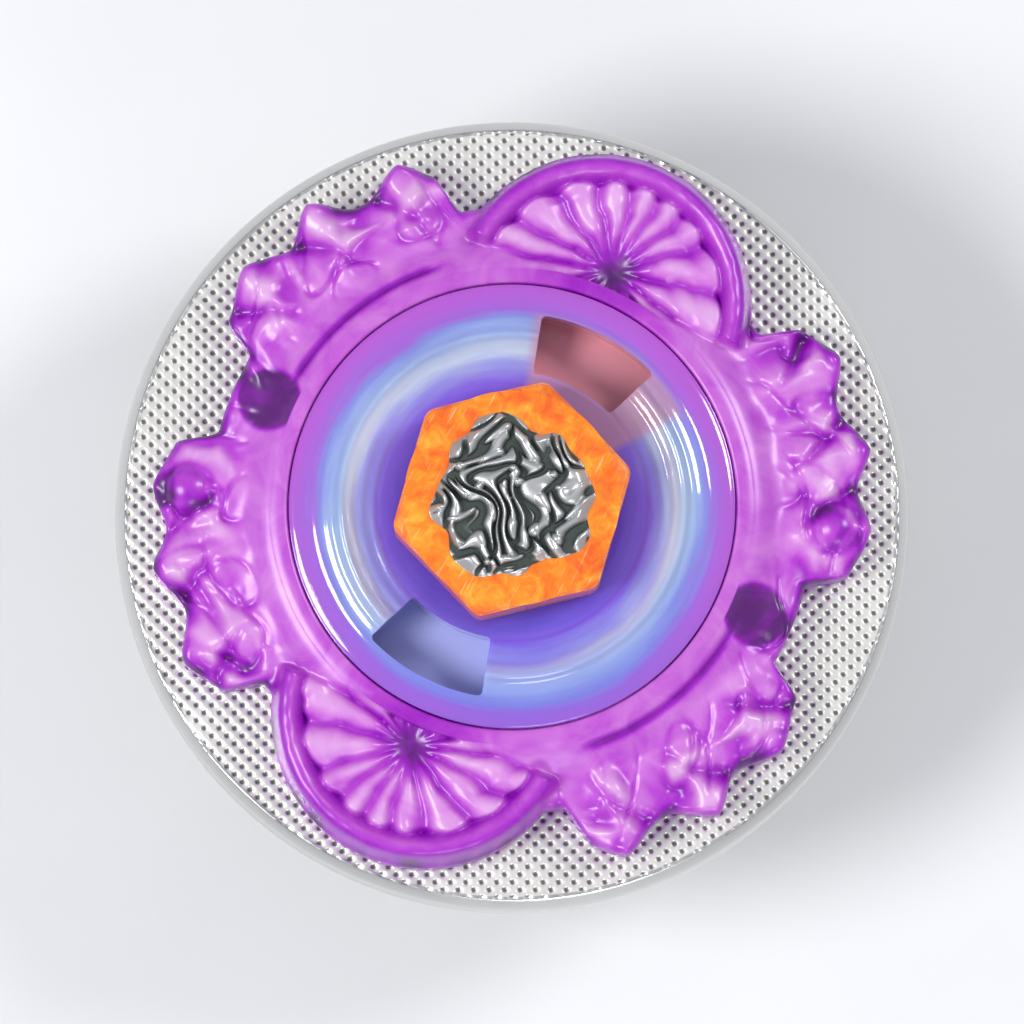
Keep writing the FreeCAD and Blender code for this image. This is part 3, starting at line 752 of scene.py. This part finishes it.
def outline(angle):
    """Radius of the ring's edge: a round fan and two lumpy crests, repeated each half turn.

    The fan is a circle about a centre off the axis; each crest rises from the valley radius
    to a shelf with one hump for each lump. The largest of them counts.
    """
    a = angle % (TURN / 2)
    reached = np.full(angle.shape, VALLEY_R)
    for whole in (0.0, TURN / 2):
        off = np.radians(a + whole - FAN_ANGLE)
        left = FAN_R**2 - (FAN_CENTRE_R * np.sin(off)) ** 2
        fan = FAN_CENTRE_R * np.cos(off) + np.sqrt(np.maximum(left, 0))
        reached = np.where((left > 0) & (np.cos(off) > 0), np.maximum(reached, fan), reached)
        for start, end, lumps in CRESTS:
            at = a + whole
            shelf = ease((at - start) / CREST_EDGE) * ease((end - at) / CREST_EDGE)
            extra = sum(high * lump_share(at, middle, wide) for middle, wide, high in lumps)
            reached = np.maximum(reached, VALLEY_R + shelf * (CREST_R - VALLEY_R + extra))
    return reached


def crinkle(x, y, seed, size):
    """Folds like those of poured plastic, from about -1 to 1: two bent sine waves.

    The second runs another way, is 0.6 times as long and half as high, and is bent by the
    first. Each is taken as one less twice its absolute value, which gives it an edge.
    """
    draw = np.random.default_rng(seed)
    total, weight, bent = 0.0, 1.0, 0.0
    for octave in range(2):
        lean, shift = draw.uniform(0, 2 * np.pi, 2)
        wave = 2 * np.pi / (size * 0.6**octave)
        way = x * math.cos(lean) + y * math.sin(lean)
        across = y * math.cos(lean) - x * math.sin(lean)
        bent = np.sin(wave * way + shift + 1.7 * np.sin(0.6 * wave * across + shift) + 1.2 * bent)
        total = total + weight * (1 - 2 * np.abs(bent))
        weight *= 0.5
    return total / 1.5


def bell(distance, width):
    """Bell curve of a distance: e to the minus square of distance over width."""
    return np.exp(-((distance / width) ** 2))


def seen_from(radius, angle, ring_r):
    """Outward and sideways distance of a polar place from a point at angle 0 on a ring."""
    off = np.radians(angle)
    return radius * np.cos(off) - ring_r, radius * np.sin(off)


def ring_top(radius, angle, edge_r):
    """Height of the ring's upper face, and how deep its colour is, from 0 to 1.

    A shelf falls from the collar to the edge. Over it stand lumps that lean as they run
    outwards, folds, creases, each spike's ridge with a curved groove beside it, the beads
    and the fans. A fan has flutes that fall to a point at its root, worked out from the
    angle about that point, then a groove and a half-round band about its own centre.

    The colour is deeper along the edge. Beyond that its depth is mostly painted light and
    shade: painted shade in the grooves, creases and round the beads' feet, and a dark disc
    over each hole through the wheel below; painted light on the ridges, lumps, flutes and a
    stripe of each band.
    """
    x, y = radius * np.cos(np.radians(angle)), radius * np.sin(np.radians(angle))
    inside = edge_r - radius
    outer = ease((radius - 19.4) / 4.0)
    height = 29.1 - 0.9 * ease((radius - 20.5) / 5.0) + 1.45 * ease((21.2 - radius) / 3.4)
    deep = 0.36 + 0.45 * bell(inside, 0.7) - 0.06 * outer
    folds, fine = crinkle(x, y, 5, 9.0), crinkle(x, y, 11, 3.6)
    flame = np.radians(24.0 * angle) / 2 + 0.24 * (radius - 20.0) + 0.9 * folds
    lump = (np.sin(flame) ** 2 + 0.015) ** 0.3
    height = height + outer * (0.5 * lump + 0.22 * folds + 0.05 * fine)
    # painted light pales the colour on the lumps and raised folds; painted shade deepens it between
    # them
    deep = deep + outer * (0.36 - 0.46 * lump - 0.22 * folds) - 0.06 * folds
    crease = bell(crinkle(x, y, 23, 15.0) + 0.4, 0.08) * ease((radius - 19.5) / 2.0)
    height = height - 0.3 * crease
    # painted shade in the creases
    deep = deep + 0.3 * crease
    a = angle % (TURN / 2)
    for whole in (0.0, TURN / 2):
        for start, end, lumps in CRESTS:
            for middle, wide, high in lumps:
                at = a + whole - middle
                ridge = bell(at, 0.5 * wide) * outer
                height = height + 0.9 * ridge
                # painted light pales each spike's ridge
                deep = deep - 0.22 * ridge
                curl = at - 0.8 * wide + 1.3 * np.maximum(inside, 0)
                groove = bell(curl, 1.0) * outer * ease(inside / 0.8) * ease((7.0 - inside) / 4.0)
                height = height - 0.8 * groove
                # painted shade in each curved groove
                deep = deep + 0.5 * groove
        bead = np.hypot(*seen_from(radius, a + whole - BEAD_ANGLE, BEAD_RING_R))
        ball = np.sqrt(np.clip(1 - (bead / BEAD_R) ** 2, 0, 1))
        height = np.where(bead < BEAD_R, np.maximum(height, 28.4 + 1.7 * ball), height)
        # painted shade round the foot of each bead, whose middle is also deeper in colour
        deep = deep + 0.35 * ball + 0.4 * bell(bead - BEAD_R, 0.3)
        fan_x, fan_y = seen_from(radius, a + whole - FAN_ANGLE, FAN_CENTRE_R)
        away, from_root = np.hypot(fan_x, fan_y), np.hypot(fan_x - FAN_ROOT, fan_y)
        swing = np.degrees(np.arctan2(fan_y, fan_x - FAN_ROOT))
        in_fan = ease((FAN_R - 0.1 - away) / 0.6) * ease((fan_x - 0.5) / 0.6)
        bent = swing + (4.0 if whole == 0.0 else 9.0) * np.sin(np.radians(3.0 * swing + 40.0))
        bent = bent + 2.5 * folds
        flute = (np.cos(np.pi * bent / FLUTE_ANGLE) ** 2 + 0.01) ** 0.3
        tip_r = FLUTE_END_R - 0.6 * (1 - flute)
        dish = 29.1 + 0.06 * away + 0.95 * flute * ease(from_root / 3.2)
        dish = dish - 1.0 * ease((away - tip_r) / 0.5)
        band = 28.2 + 2.8 * np.sqrt(np.clip(1 - ((away - BAND_R) / BAND_HALF) ** 2, 0, 1))
        fan = np.maximum(dish, band) + 0.04 * fine
        # painted light pales the flutes; painted shade deepens the grooves between them and past
        # their tips
        fan_deep = 0.95 - 0.82 * flute * ease((from_root - 0.4) / 3.6) + 0.1 * folds
        fan_deep = fan_deep + (0.92 - fan_deep) * ease((away - tip_r) / 0.4)
        # the band has a paler stripe along its inner slope: a painted highlight
        fan_deep = np.where(band >= dish, 0.72 - 0.25 * bell(away - 9.9, 0.5), fan_deep)
        height = height + in_fan * (fan - height)
        deep = deep + in_fan * (fan_deep - deep)
        scar = bell(radius - COLLAR_R - 0.7, 0.3) * ease((a + whole - 132.0) / 6.0)
        scar = scar * ease((184.0 - a - whole) / 10.0)
        height = height - 0.45 * scar
        # painted shade in the scar's groove
        deep = deep + 0.55 * scar
        hole = np.hypot(*seen_from(radius, a + whole - PEEP_ANGLE, PEEP_RING_R))
        # painted shade: a dark disc over each hole that goes through the wheel below
        deep = deep + 0.75 * ease((PEEP_R + 0.1 - hole) / 0.3)
    height = np.minimum(height, HIGHEST)
    turned_in = np.clip(1 - inside / 0.7, 0, 0.995)
    return height - 0.7 * (1 - np.sqrt(1 - turned_in**2)), np.clip(deep, 0, 1)


def blunted(field):
    """The field with each value drawn to its neighbours: a quarter, a half, a quarter."""
    for axis in (1, 0, 1):
        ahead, behind = np.roll(field, 1, axis), np.roll(field, -1, axis)
        if axis == 0:
            ahead[0], behind[-1] = field[0], field[-1]
        field = (ahead + 2 * field + behind) / 4
    return field


angle = (np.arange(RING_COLUMNS) * TURN / RING_COLUMNS)[None]
edge_r = outline(angle)
share = np.linspace(1, 0, RING_ROWS)[:, None]
inner_r = COLLAR_R - 0.2
radius = inner_r + share * (edge_r - 0.02 - inner_r)
height, deep = (blunted(field) for field in ring_top(radius, angle, edge_r))
foot = np.linspace(0, 1, 3)[:, None]
bottom = round_axis(RING_BORE_R + 0.15 + foot * (edge_r - RING_BORE_R - 0.5), RING_FOOT, angle)
wall_z = RING_FOOT + np.array([0.06, 0.3, 1.0, 1.8])[:, None]
wall = round_axis(edge_r - np.array([0.12, 0, 0, 0])[:, None], wall_z, angle)
collar = rounded([
    (inner_r - 0.1, COLLAR_TOP), (RABBET_R, COLLAR_TOP), (RABBET_R, LENS_SEAT),
    (RING_BORE_R, LENS_SEAT), (RING_BORE_R, RING_FOOT), (RING_BORE_R + 0.12, RING_FOOT)],
    (0.25, 0.05, 0.15, 0.1), steps=4)
inner = round_axis(collar[:, :1], collar[:, 1:], angle)
grid = np.vstack([bottom, wall, round_axis(radius, height, angle), inner])
past_fan = (angle - FAN_ANGLE) % (TURN / 2)
near_fan = bell(past_fan, 15.0) + bell(TURN / 2 - past_fan, 15.0)
# depth of colour on each row: on the top face the painted light and shade of ring_top, fixed values
# on the foot and the wall, and deeper near the fans on the collar
pigment = np.vstack([
    np.full((len(bottom), RING_COLUMNS), 0.4), np.full((len(wall), RING_COLUMNS), 0.7), deep,
    0.38 + 0.35 * near_fan + np.zeros((len(inner), 1))])
peg = rounded([(0.3, 23.05), (PEG_R - 0.03, 23.05), (PEG_R - 0.03, 25.0), (0.3, 25.0)], 0.2)
pegs = [turned(peg, RING_COLUMNS // 12) + round_axis(PEG_RING_R, 0.0, FAN_ANGLE + half)
        for half in (0.0, TURN / 2)]
ring = skin("violet_energy_ring", grid, joined=True, sharp=60.0, pigment=pigment)
ring_pegs = skin("ring_pegs", pegs[0], more=pegs[1:], pigment=np.full((2, 2), 0.3))


def ramped(tree, share, *stops):
    """Colour of a ramp at a share; a stop is the share where it lies and its colour."""
    tint = add(tree, "ValToRGB", {0: share})
    ramp = tint.color_ramp.elements
    for at, colour in stops[1:-1]:
        ramp.new(at).color = (*colour, 1.0)
    for end, (at, colour) in ((0, stops[0]), (len(stops) - 1, stops[-1])):
        ramp[end].position = at
        ramp[end].color = (*colour, 1.0)
    return tint.outputs[0]


def violet_plastic():
    """See-through violet plastic: painted light on thick forms, painted shade in the grooves."""
    material, tree, shader = finish_of(
        "violet polycarbonate", Transmission_Weight=0.4, IOR=1.45, Coat_Weight=0.2,
        Coat_Roughness=0.2)
    wear = placed(tree, "handling", Amount=0.5)
    # depth of colour from the ring's points, with its painted light and shade
    deep = add(tree, "Attribute", attribute_name="pigment").outputs["Fac"]
    swirl = noise(tree, 230.0, 6.0, Roughness=0.62, Distortion=1.4)
    cloud = reckon(tree, "MULTIPLY", reckon(tree, "SUBTRACT", swirl, 0.5), 0.55)
    tint = ramped(
        tree, reckon(tree, "ADD", deep, cloud), (0.0, hue(244, 190, 244)),
        (0.25, hue(226, 138, 234)), (0.5, hue(198, 72, 220)), (0.75, hue(166, 8, 204)),
        (1.0, hue(88, 12, 112)))
    tree.links.new(tint, shader["Base Color"])
    tree.links.new(spread(tree, wear["Smears"], 0.26, 0.42), shader["Roughness"])
    relief(tree, shader, swirl, 0.03)
    return material


violet = violet_plastic()
for piece in (ring, ring_pegs):
    dress(piece, violet)
    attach(piece, "ring")
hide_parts("energy_ring")

# ------------------------------------------------------------------------- light lens
# The pale blue lens that spreads the lamps' light, clear acrylic with violet under the
# bolt's head. A rounded ridge runs round it, and the launcher's hooked prongs go in through
# its two mouths.
LENS_COLUMNS = 480
WELL_ANGLE = 90.0
WELL_HALF = 19.0
WELL_IN_R = 10.05
WELL_OUT_R = 14.5
RIDGE_R = 12.8
LENS_UNDER = 29.42
LENS_STEP = 0.085
lens_r, lens_crest = reach("light_lens")[1][[0, 2]]
rim_r = lens_r - 0.02


def lens_top(radius):
    """Height of the lens: a faint dish, a bell-shaped ridge, fine rings, a round edge."""
    dish = 30.98 - 0.3 * ease((radius - 12.0) / 4.0)
    ridge = (lens_crest - 30.93) * bell(radius - RIDGE_R, 0.55)
    rings = 0.035 * np.sin(2 * np.pi * radius / 0.85) * ease((radius - 9.6) / 0.5)
    rings = rings * ease((15.6 - radius) / 0.6)
    drop = np.clip((radius - 15.5) / (lens_r - 15.5), 0, 0.97)
    return dish + ridge + rings - 0.35 * (1 - np.sqrt(1 - drop**2))


def slot_bar(in_r, out_r, low, high, middle, half, corner=0.35):
    """Bar that follows an arc: a rectangle of radius and height, carried round the axis.

    Towards both ends the rectangle's inner and outer sides draw in by a corner's radius
    along a quarter circle, which rounds the ends of the bar.
    """
    step = np.linspace(-1, 1, 25)
    turn = middle + half * np.sin(np.pi / 2 * step)
    left = np.radians(half - np.abs(turn - middle)) * (in_r + out_r) / 2
    drawn = np.clip(1 - left / corner, 0, 1)
    pull = corner * (1 - np.sqrt(1 - drawn**2))
    radius = np.stack([in_r + pull, out_r - pull, out_r - pull, in_r + pull], axis=-1)
    height = np.broadcast_to(np.array([low, low, high, high]), radius.shape)
    return round_axis(radius, height, turn[:, None])


face_r = np.append(np.arange(9.7, rim_r, LENS_STEP), rim_r)
lens_section = np.vstack([
    rounded([(6.2, LENS_UNDER), (5.96, LENS_UNDER), (5.96, 30.0), (4.2, 30.0), (4.2, 30.98),
             (9.6, 30.98)], (0.05, 0.05, 0.05, 0.1)),
    np.stack([face_r, lens_top(face_r)], axis=-1),
    rounded([(rim_r, 30.0), (rim_r, LENS_UNDER), (15.0, LENS_UNDER), (8.0, LENS_UNDER)],
            (0.15, 0.1)),
])
lens = skin("blue_light_lens", turned(lens_section, LENS_COLUMNS), joined=True)
mouths = [slot_bar(WELL_IN_R, WELL_OUT_R, 29.0, 32.0, WELL_ANGLE + half, WELL_HALF)
          for half in (0.0, TURN / 2)]
cut_out(lens, skin("cutter", mouths[0], more=mouths[1:]))


def blue_lens():
    """See-through lens in rings of colour, drawn out round the axis like spun sugar.

    Over the pink bay the lens is painted pink, from one end of the bay to the other,
    standing in for the bay seen through it. On the side towards the camera its rings of
    colour are shifted outwards a little, and that side is painted more violet: painted shade.
    """
    material, tree, shader = finish_of(
        "blue acrylic", Transmission_Weight=0.5, IOR=1.45, Coat_Weight=0.8, Coat_Roughness=0.05)
    place, xyz, radius = about_axis(tree)
    around = vector(tree, "NORMALIZE", vector(tree, "MULTIPLY", place, (1.0, 1.0, 0.0)))
    layer = add(tree, "CombineXYZ", {2: reckon(tree, "MULTIPLY", radius, 900.0)}).outputs[0]
    drawn = vector(tree, "ADD", vector(tree, "SCALE", around, scale=1.6), layer)
    streak = noise(tree, 1.0, 4.0, drawn)
    side = add(tree, "SeparateXYZ", {0: around}).outputs
    # lean grows towards the side of the lens that faces the camera
    lean = reckon(tree, "MULTIPLY_ADD", side[0], 0.45, reckon(tree, "MULTIPLY", side[1], -0.89))
    bent_r = reckon(tree, "MULTIPLY_ADD", reckon(tree, "SUBTRACT", streak, 0.5), 2.2 * MM, radius)
    bent_r = reckon(tree, "MULTIPLY_ADD", lean, -0.5 * MM, bent_r)
    tint = ramped(
        tree, rise(tree, bent_r, 8.0 * MM, 17.0 * MM), (0.0, hue(104, 62, 222)),
        (0.2, hue(150, 108, 248)), (0.35, hue(176, 174, 252)), (0.47, hue(222, 236, 255)),
        (0.6, hue(186, 212, 252)), (0.71, hue(154, 164, 246)), (0.8, hue(188, 118, 238)),
        (1.0, hue(214, 104, 238)))
    # painted shade: the side towards the camera is painted more violet
    violet_side = rise(tree, lean, 0.2, 1.0, 0.35)
    cool = between(tree, violet_side, tint, hue(112, 110, 240))
    # painted pink over the pink bay, standing in for the bay seen through the lens
    over_bay = reckon(tree, "MULTIPLY_ADD", side[0], 0.11, reckon(tree, "MULTIPLY", side[1], 0.99))
    within = rise(tree, radius, (WELL_OUT_R + 0.2) * MM, (WELL_OUT_R - 0.2) * MM)
    pink = reckon(tree, "MULTIPLY", rise(tree, over_bay, 0.87, 0.9, 0.75), within)
    tree.links.new(between(tree, pink, cool, hue(214, 158, 190)), shader["Base Color"])
    tree.links.new(spread(tree, streak, 0.05, 0.16), shader["Roughness"])
    relief(tree, shader, streak, 0.05)
    return material


dress(lens, blue_lens())
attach(lens, "lens")
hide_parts("light_lens")

# ------------------------------------------------------------- face bolt and its clip
# The orange hexagonal bolt that clamps every layer down: moulded with a coarse thread, its
# plastic mottled with yellow. A steel clip in the stem's groove keeps it in the lens.
BOLT_COLUMNS = 432
BOLT_FLAT = 15.9
BOLT_TURNED = 41.8
BOLT_SEAT = 31.0
EMBLEM_R = 5.1
EMBLEM_SUNK = 0.8
CROWN_FROM = 8.0
CORNER_ROUND = 0.22
STEM_R = 3.5
STEM_END = 10.62
RIB_DEPTH = 0.6
RIB_START = 11.6
RIB_END = 17.6
RIB_HALVES = (0.7, 0.35)  # half its width at its root and at its crest
head_top = reach("face_bolt")[1][2]


def hexagon_radius(angle, flat, corner):
    """Distance from the axis to a hexagon's side, its corners drawn in to a small round.

    The side is the half width over the cosine of the angle from the side's middle; near a
    corner it is held under a cap by a soft minimum of the two.
    """
    off = np.radians((angle - BOLT_TURNED) % 60.0 - 30.0)
    straight = flat / 2 / np.cos(off)
    cap = flat / 2 / math.cos(math.radians(30.0)) - corner
    blend = 0.06
    return -blend * np.logaddexp(-straight / blend, -cap / blend) + blend * 0.02


angle = (np.arange(BOLT_COLUMNS) * TURN / BOLT_COLUMNS)[None]
hexagon = hexagon_radius(angle, BOLT_FLAT - 0.02, 0.16)
inset = np.array([0.09, 0.02, 0.0])[:, None]
share = np.linspace(0, 1, 7)[:, None]
crown_end = np.maximum(hexagon - CORNER_ROUND, CROWN_FROM + 0.01)
crown_r = CROWN_FROM + share * (crown_end - CROWN_FROM)


def crown_z(radius):
    """Height of the head's top: level inside, then a cone that takes the corners down."""
    return head_top - np.maximum(radius - CROWN_FROM, 0) * 0.62


side_z = BOLT_SEAT + 0.15 + share * (crown_z(hexagon) - 0.25 - BOLT_SEAT - 0.15)
stem_z = np.arange(18.9, 10.75, -0.105)[:, None]
rib = thread_share(angle, stem_z, RIB_START, RIB_END, *RIB_HALVES)
pocket = rounded([
    (0.5, head_top - EMBLEM_SUNK), (EMBLEM_R, head_top - EMBLEM_SUNK), (EMBLEM_R, head_top),
    (CROWN_FROM, head_top)], (0.05, 0.15))[:-1]
stem = rounded([
    (4.5, BOLT_SEAT), (4.1, BOLT_SEAT), (4.1, 30.0), (STEM_R, 30.0), (STEM_R, 29.5),
    (4.1, 29.5), (4.1, 19.0), (STEM_R, 19.0)], 0.1)
grid = np.vstack([
    round_axis(pocket[:, :1], pocket[:, 1:], angle),
    round_axis(crown_r, crown_z(crown_r), angle),
    round_axis(hexagon - inset, crown_z(hexagon) - (CORNER_ROUND - inset) * 0.9, angle),
    round_axis(hexagon, side_z[::-1], angle),
    round_axis(hexagon - 0.15, BOLT_SEAT, angle),
    round_axis(5.5 + (hexagon - 5.5) * 0.5, BOLT_SEAT, angle),
    round_axis(stem[:, :1], stem[:, 1:], angle),
    round_axis(STEM_R + RIB_DEPTH * rib, stem_z, angle),
    round_axis(np.array([[3.2], [1.5]]), STEM_END, angle),
])
bolt = skin("orange_face_bolt", grid, sharp=30.0)


def orange_plastic():
    """Orange plastic with streaks of yellow and pale hairline scratches."""
    material, tree, shader = finish_of(
        "orange ABS", Coat_Weight=0.5, Coat_Roughness=0.1, Subsurface_Weight=0.1)
    wear = placed(tree, "handling", Amount=0.6)
    marble = noise(tree, 620.0, 6.0, Roughness=0.6, Distortion=0.5)
    tint = ramped(tree, marble, (0.34, hue(218, 84, 6)), (0.52, hue(240, 122, 14)),
                  (0.72, hue(250, 166, 48)))
    brighter_share = reckon(tree, "MULTIPLY", wear["Scratches"], 0.4)
    tree.links.new(between(tree, brighter_share, tint, hue(255, 222, 170)), shader["Base Color"])
    tree.links.new(spread(tree, marble, 0.34, 0.2), shader["Roughness"])
    relief(tree, shader, marble, 0.1)
    return material


dress(bolt, orange_plastic())
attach(bolt, "bolt")
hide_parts("face_bolt")
dress(softened("bolt_clip", 0.06), bare_metal(
    "spring steel", hue(176, 178, 184), 0.26, 16000.0, 0.004))

# ------------------------------------------------------------------------ face emblem
# The plated emblem pressed into the bolt: a die-struck knot of curling ribbons, dark in its
# hollows and bright on its ridges.
EMBLEM_COLUMNS = 600
EMBLEM_ROWS = 100
EMBLEM_EDGE = 5.85
EMBLEM_MAX_R = 6.45


def knot(away, swing):
    """Height share of the relief at a distance and an angle about its middle.

    The place is bent by sines of the other coordinate. Ribbons with a round back follow
    the level lines of its distance from a point plus a wavy sheet, broken into lengths
    where another sine is near 0. Pellets lie where two sines are both near their peaks.
    """
    x, y = away * np.cos(np.radians(swing)), away * np.sin(np.radians(swing))
    u = x + 1.0 * np.sin(0.95 * y + 1.3) + 0.55 * np.sin(1.7 * y - 0.6 * x)
    v = y + 1.0 * np.sin(0.85 * x - 0.4) + 0.55 * np.sin(1.6 * x + 0.5 * y + 1.0)
    level = 0.5 * np.hypot(u - 0.4, v + 0.3) + 0.35 * np.sin(1.1 * u) * np.sin(v)
    across = np.abs(np.cos(1.2 * np.pi * level + 0.4))
    ribbon = np.sqrt(np.clip((across - 0.4) / 0.6, 0, 1))
    ends = ease((np.abs(np.sin(1.3 * u + 0.9 * v + 0.6)) - 0.16) / 0.45)
    pellets = np.abs(np.sin(1.45 * u + 0.4) * np.sin(1.45 * v - 0.3))
    pellets = np.sqrt(np.clip((pellets - 0.62) / 0.38, 0, 1))
    return np.maximum(0.85 * ribbon * ends, 0.95 * pellets)


angle = (np.arange(EMBLEM_COLUMNS) * TURN / EMBLEM_COLUMNS)[None]
# the edge is a circle with waves on it: (height, number round the edge, shift in degrees)
edge = EMBLEM_EDGE + sum(
    high * np.cos(np.radians(number * angle + shift))
    for high, number, shift in ((0.4, 3, -50.0), (0.3, 5, 40.0), (0.26, 8, 75.0), (0.14, 13, 0.0)))
edge = np.clip(edge, EMBLEM_R + 0.06, EMBLEM_MAX_R)
share = np.linspace(0.03, 1, EMBLEM_ROWS)[:, None]
away = share * edge
raised = knot(away, angle)
height = head_top + 0.1 + 0.74 * raised * ease((1.02 - share) / 0.16)
height = height - 0.06 * (share > 0.985)
plug = np.array([
    (EMBLEM_R - 0.04, head_top - 0.05), (EMBLEM_R - 0.04, head_top - 0.7),
    (EMBLEM_R - 0.1, head_top - 0.75), (0.3, head_top - 0.75)])
grid = np.vstack([
    round_axis(away, height, angle),
    round_axis(edge, head_top + 0.015, angle),
    round_axis(plug[:, :1], plug[:, 1:], angle),
])
emblem = skin("knot_emblem", grid, sharp=50.0, height=np.vstack([
    raised, np.zeros((1 + len(plug), EMBLEM_COLUMNS))]))


def relief_plating():
    """Plated relief, dark in its hollows and bright on its ridges, by the relief's height."""
    material, tree, shader = finish_of("relief plating", Metallic=0.85)
    wear = placed(tree, "handling", Amount=0.4)
    high = add(tree, "Attribute", attribute_name="height").outputs["Fac"]
    blotch = noise(tree, 900.0, 5.0)
    level = reckon(tree, "MULTIPLY_ADD", reckon(tree, "SUBTRACT", blotch, 0.5), 0.3, high)
    brighter_share = rise(tree, level, 0.05, 0.7)
    tree.links.new(between(tree, brighter_share, hue(70, 78, 74), hue(188, 189, 190)), shader["Base Color"])
    rough = spread(tree, brighter_share, 0.6, 0.38)
    tree.links.new(reckon(tree, "MULTIPLY_ADD", wear["Scratches"], 0.15, rough), shader["Roughness"])
    relief(tree, shader, blotch, 0.03)
    return material


dress(emblem, relief_plating())
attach(emblem, "bolt")
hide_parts("face_emblem")

# ----------------------------------------------------------------------------- studio
# A pale floor, a soft sky, three large soft lamps and the camera, nearly straight above.
AZIMUTH = 28.0
ELEVATION = 84.0
CAMERA_AWAY = 0.60
FLOOR_HALF = 3.0


def outlook(azimuth, elevation):
    """Direction from the top to a place at an azimuth, round from -Y, and an elevation."""
    a, e = math.radians(azimuth), math.radians(elevation)
    return np.array([math.sin(a) * math.cos(e), -math.cos(a) * math.cos(e), math.sin(e)])


def facing(made, place, target):
    """Puts a camera or lamp at a place, turned so that it looks at the target."""
    made.location = Vector(place)
    made.rotation_euler = (Vector(target) - made.location).to_track_quat("-Z", "Y").to_euler()


floor_mesh = bpy.data.meshes.new("floor")
floor_mesh.from_pydata(
    [(x * FLOOR_HALF, y * FLOOR_HALF, 0) for x, y in ((-1, -1), (1, -1), (1, 1), (-1, 1))], [],
    [(0, 1, 2, 3)])
floor_piece = bpy.data.objects.new("floor", floor_mesh)
bpy.context.scene.collection.objects.link(floor_piece)
floor_paint, tree, shader = finish_of("floor paper", Roughness=0.85)
tree.links.new(between(tree, noise(tree, 40.0, 4.0), hue(208, 208, 211), hue(216, 216, 218)),
               shader["Base Color"])
dress(floor_piece, floor_paint)

world = bpy.data.worlds.new("soft sky")
bpy.context.scene.world = world
world.use_nodes = True
sky = world.node_tree.nodes["Background"].inputs
sky["Color"].default_value = (0.9, 0.93, 1.0, 1.0)
sky["Strength"].default_value = 0.5

target = (0.0, 0.0, 0.026)
# each lamp: its direction, its distance and width in metres, and its power in watts
for name, azimuth, elevation, away, size, power in (
    ("left lamp", AZIMUTH - 75.0, 52.0, 0.55, 0.22, 2.4),
    ("right lamp", AZIMUTH + 115.0, 46.0, 0.6, 0.18, 1.7),
    ("front lamp", AZIMUTH + 10.0, 25.0, 0.6, 0.25, 0.8),
):
    light = bpy.data.lights.new(name, "AREA")
    light.shape, light.size, light.energy = "DISK", size, power
    lamp = bpy.data.objects.new(name, light)
    bpy.context.scene.collection.objects.link(lamp)
    facing(lamp, np.array(target) + away * outlook(azimuth, elevation), target)

bpy.context.scene.view_settings.view_transform = "Standard"
camera_data = bpy.data.cameras.new("camera")
camera_data.lens = 280.0
camera_data.clip_start = 0.01
camera = bpy.data.objects.new("camera", camera_data)
bpy.context.scene.collection.objects.link(camera)
facing(camera, np.array(target) + CAMERA_AWAY * outlook(AZIMUTH, ELEVATION), target)
bpy.context.scene.camera = camera
